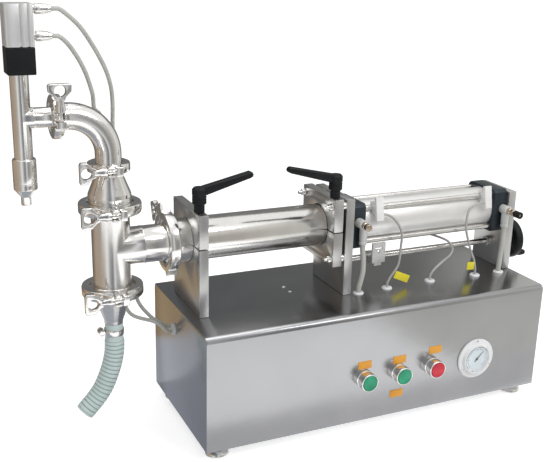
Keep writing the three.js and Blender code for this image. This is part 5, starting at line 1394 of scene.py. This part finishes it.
def make_clamp(name, size, joint, turns):
    """A grooved ring with its hinge, its two ears and the swing bolt."""
    cx, cy, cz = joint
    half, ring, lip, rim = size["half"], size["ring"], size["lip"], size["rim"]
    mouth_half, floor_half = ferrule_back(size, lip) + GAP, ferrule_back(size, rim) + GAP
    band = turned(name, "z", [
        (-half, lip), (-half, ring - 2.4), (0.8 - half, ring - 0.8), (2.6 - half, ring),
        (half - 2.6, ring), (half - 0.8, ring - 0.8), (half, ring - 2.4), (half, lip),
        (mouth_half, lip), (floor_half, rim + GAP), (-floor_half, rim + GAP), (-mouth_half, lip),
    ], joint, 80)
    reach, bolt_line, slit = ring + size["ear"], ring + size["ear"] / 2, 2.4
    shank, outer, height = size["bolt"] - GAP, cy - ring - size["ear"], around(cz, 2 * half)
    ears = block("ears", around(cx, 22), (outer, cy - rim - GAP), height)
    combined(band, softened(ears, 1.6, 3))
    hinge = block("hinge", around(cx, 14), (cy + rim + GAP, cy + ring + 6), height)
    combined(band, softened(hinge, 1.5, 3))
    cut(band, block("slit", around(cx, slit), (cy - reach - OVERRUN, cy - lip + 1), past(height)),
        block("bolt_way", (cx - 16, cx - slit / 2),
              (cy - reach - OVERRUN, cy - bolt_line + size["bolt"]),
              around(cz, 2 * (size["bolt"] + GAP))))
    pin = turned("pin", "z", [
        (-half - 1, 0), (-half - 1, 2.4), (-half - 0.4, 3), (half + 0.4, 3), (half + 1, 2.4),
        (half + 1, 0)], (cx, cy + ring + 3, cz), 24)
    bolt = turned("bolt", "x", [
        (-33, 0), (-33, size["bolt"] - 1), (-32, shank), (2.2, shank), (2.2, 0),
    ], (cx, cy - bolt_line, cz), 24)
    whole = softened(together(f"{name}_ring", band, pin, bolt), 0.35)
    moved(whole, clamp_turn(joint, turns))
    fitted(whole, POLISHED_STEEL, nodes=[f"{name}_clamp"])


def make_wing_nut(name, size, joint, turns, nut_turn):
    """A hub on the bolt, a neck and a square-ended wing with a round window."""
    cx, cy, cz = joint
    y, end, thickness = cy - size["ring"] - size["ear"] / 2, size["wing"], 8.4
    side = [(27, 6), (33, 8.5), (38, 14), (40, 15.6), (end - 3, 16), (end - 1, 15), (end, 12.5)]
    outline = [(along, -out) for along, out in side] + side[::-1]
    wing = plate(name, [(cx - along, y - thickness / 2, cz + out) for along, out in outline],
                 (0, thickness, 0))
    modified(wing, "BEVEL", width=1.4 * MM, segments=3, limit_method="ANGLE",
             angle_limit=math.radians(60))
    cut(wing, turned("window", "y", [
        (-6, 0), (-6, 10), (-3.4, 8), (3.4, 8), (6, 10), (6, 0)],
        (cx - (29 + end) / 2 - 1, y, cz), 40))
    hub = turned("hub", "x", [
        (-30, 0), (-30, 5.4), (-22, 5.6), (-19, 7), (-12.3, 7), (-11.3, 6), (-11.3, 0),
    ], (cx, y, cz), 32)
    combined(wing, hub)
    cut(wing, bar("bolt_bore", "x", size["bolt"], (-34, -5), (cx, y, cz), 32))
    softened(wing, 0.3)
    if nut_turn:
        moved(wing, about((cx, y, cz), nut_turn, "X"))
    moved(wing, clamp_turn(joint, turns))
    fitted(wing, POLISHED_STEEL, f"{name}_nut", [f"{name}_wing_nut"])


# Hidden nodes
def finish_hidden_nodes():
    """Pieces inside the machine keep their CAD shapes."""
    finishes = {
        "filling_piston": WHITE_PLASTIC, "piston_rod": POLISHED_STEEL,
        "nozzle_stem": POLISHED_STEEL, "suction_poppet": POLISHED_STEEL,
        "discharge_poppet": POLISHED_STEEL,
    }
    for node, finish in finishes.items():
        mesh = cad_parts[node].data
        mesh.materials.clear()
        mesh.materials.append(finish)


# Studio
FLOOR_TONE = 0.86
FLOOR_LIFT = 0.6
AIR_LEVEL = 0.5
LIGHT_AIM = Vector((0, 0, 0.3))
ROOM_SIZE = (1.1, 0.86, 1.1)

# Colours round the object by compass angle, in turns from the left and through the front
ROOM = [
    (0.00, (0.44, 0.36, 0.28)), (0.06, (0.50, 0.46, 0.42)), (0.10, (0.92, 0.92, 0.90)),
    (0.13, (0.40, 0.41, 0.43)), (0.165, (0.16, 0.17, 0.19)), (0.18, (0.36, 0.37, 0.39)),
    (0.20, (0.90, 0.90, 0.90)), (0.225, (0.38, 0.39, 0.40)), (0.27, (0.27, 0.27, 0.27)),
    (0.34, (0.46, 0.44, 0.41)), (0.42, (0.62, 0.61, 0.59)), (0.47, (0.95, 0.95, 0.95)),
    (0.50, (0.62, 0.62, 0.60)), (0.56, (0.85, 0.85, 0.80)), (0.62, (0.22, 0.22, 0.21)),
    (0.80, (0.16, 0.165, 0.17)), (0.88, (0.18, 0.16, 0.14)), (0.94, (0.44, 0.34, 0.25)),
    (1.00, (0.44, 0.36, 0.28)),
]

# Floor tones left of the object, by how far back each begins and ends
LEFT_FLOOR = [
    (-0.20, 0.17, (0.38, 0.40, 0.45)), (0.17, 0.38, (0.60, 0.62, 0.68)),
    (0.38, 1.30, (0.50, 0.37, 0.22)),
]


def glowing(name):
    """A material whose shader is a glow, with its tree and that glow."""
    finish, tree, shader = material(name)
    tree.nodes.remove(shader)
    return finish, tree, tree.nodes.new("ShaderNodeEmission")


def seen_by_eye(tree):
    """1 for rays from the camera, reflections and glass, and 0 for the light on surfaces."""
    path = tree.nodes.new("ShaderNodeLightPath")
    camera, glossy, through = (path.outputs[f"Is {kind} Ray"]
                               for kind in ("Camera", "Glossy", "Transmission"))
    return calculated(tree, "MAXIMUM", calculated(tree, "MAXIMUM", camera, glossy), through)


def make_floor():
    """A pale matt floor, lifted to white where it is seen."""
    begin()
    bpy.ops.mesh.primitive_plane_add(size=24, location=(0, 0, 0))
    floor = named("studio_floor")
    finish, tree, glow = glowing("pale_floor")
    matt = tree.nodes.new("ShaderNodeBsdfDiffuse")
    matt.inputs["Color"].default_value = (FLOOR_TONE, FLOOR_TONE, FLOOR_TONE, 1)
    both = tree.nodes.new("ShaderNodeAddShader")
    lift = calculated(tree, "MULTIPLY", seen_by_eye(tree), FLOOR_LIFT)
    tree.links.new(lift, glow.inputs["Strength"])
    tree.links.new(matt.outputs[0], both.inputs[0])
    tree.links.new(glow.outputs[0], both.inputs[1])
    tree.links.new(both.outputs[0], tree.nodes["Material Output"].inputs["Surface"])
    floor.data.materials.append(finish)


def make_world():
    """White air that lights the object less than it shows."""
    world = bpy.data.worlds.new("studio_air")
    bpy.context.scene.world = world
    world.use_nodes = True
    tree = world.node_tree
    back = tree.nodes["Background"]
    back.inputs["Color"].default_value = (1, 1, 1, 1)
    level = tree.nodes.new("ShaderNodeMapRange")
    level.inputs["To Min"].default_value = AIR_LEVEL
    level.inputs["To Max"].default_value = 1.0
    tree.links.new(seen_by_eye(tree), level.inputs["Value"])
    tree.links.new(level.outputs["Result"], back.inputs["Strength"])


def soft_light(name, place, size, watts):
    """A square lamp that faces the object."""
    begin()
    bpy.ops.object.light_add(type="AREA", location=place)
    light = bpy.context.object
    light.name = name
    light.data.size = size
    light.data.energy = watts
    light.rotation_mode = "QUATERNION"
    light.rotation_quaternion = (LIGHT_AIM - Vector(place)).to_track_quat("-Z", "Y")


def reflected_only(card, paint):
    """A studio card that only reflections see, with its glow painted by a function."""
    finish, tree, glow = glowing(card.name)
    paint(tree, glow.inputs["Color"])
    tree.links.new(glow.outputs[0], tree.nodes["Material Output"].inputs["Surface"])
    card.data.materials.append(finish)
    card.visible_camera = False
    card.visible_diffuse = False
    card.visible_shadow = False
    card.visible_transmission = False


def flat_card(name, centre, size, colour, facing=(0, 0, 1)):
    """A plain card at its centre, facing up unless told otherwise."""
    begin()
    bpy.ops.mesh.primitive_plane_add(size=1, location=(0, 0, 0))
    card = named(name)
    card.data.transform(Matrix.Diagonal((*size, 1, 1)))
    turn = Vector(facing).to_track_quat("Z", "Y").to_matrix().to_4x4()
    card.data.transform(Matrix.Translation(Vector(centre)) @ turn)

    def paint(tree, socket):
        socket.default_value = (*colour, 1)
    reflected_only(card, paint)


def make_room():
    """A ring of soft and dark bands round the object, open above, as a room shows in steel."""
    begin()
    wide, deep, height = ROOM_SIZE
    bpy.ops.mesh.primitive_cylinder_add(
        vertices=96, radius=1, depth=height, end_fill_type="NOTHING",
        location=(0, 0, height / 2), scale=(wide, deep, 1))
    ring = named("room_bands")
    bpy.ops.object.transform_apply(location=True, rotation=True, scale=True)

    def paint(tree, socket):
        place = tree.nodes.new("ShaderNodeTexCoord")
        compass = tree.nodes.new("ShaderNodeTexGradient")
        compass.gradient_type = "RADIAL"
        ramp = tree.nodes.new("ShaderNodeValToRGB")
        stops = ramp.color_ramp.elements
        for stop in ROOM[1:-1]:
            stops.new(stop[0])
        for stop, (turn, colour) in zip(stops, ROOM):
            stop.position = turn
            stop.color = (*colour, 1)
        tree.links.new(place.outputs["Object"], compass.inputs["Vector"])
        tree.links.new(compass.outputs["Fac"], ramp.inputs["Fac"])
        tree.links.new(ramp.outputs["Color"], socket)
    reflected_only(ring, paint)


def make_studio():
    """Floor, air, two lamps, and the room and cards that steel mirrors."""
    make_floor()
    make_world()
    soft_light("key_light", (0.9, -1.7, 1.9), 1.2, 26)
    soft_light("top_light", (-0.3, 0.2, 2.2), 1.4, 10)
    make_room()
    flat_card("rear_card", (-0.2, 1.5, 1.0), (4.0, 2.2), (0.19, 0.20, 0.20), (0, -1, 0))
    for i, (start, end, colour) in enumerate(LEFT_FLOOR):
        flat_card(f"left_floor_card_{i + 1}", (-0.72, (start + end) / 2, 0.002),
                  (1.02, end - start), colour)
    flat_card("near_floor_card", (0.10, -0.18, 0.003), (0.9, 0.09), (0.82, 0.82, 0.83))
    flat_card("right_floor_card", (0.90, -0.62, 0.002), (1.1, 0.96), (0.86, 0.86, 0.82))


# Assembly
photo_camera()
make_cords()
make_tags()
make_hose()
make_shell()
make_tray()
make_feet()
make_grommets()
make_buttons()
make_gauge()
make_panel_trim()
make_plates()
make_lever("front_lever_handle", "front_lever", "front_clamp_lever",
           FRONT_POST_START + POST_THICKNESS / 2, POST_TOP, 1)
make_lever("rear_lever_handle", "rear_lever", "rear_clamp_lever",
           REAR_BLOCK_START + REAR_BLOCK_THICKNESS / 2, LINE_HEIGHT + REAR_BLOCK_RISE, -1)
make_air_cylinder()
make_pickup("front_stroke_pickup", PICKUPS["front"], "front_pickup")
make_pickup("rear_stroke_pickup", PICKUPS["rear"], "rear_pickup")
make_fittings()
make_handwheel()
make_carrier()
make_filling_tube()
make_tee()
make_reducer()
make_elbow()
make_nozzle_body()
make_nozzle_tip()
make_actuator()
make_spigot()
for clamp in CLAMPS:
    make_clamp(*clamp[:4])
    make_wing_nut(*clamp)
finish_hidden_nodes()
make_studio()
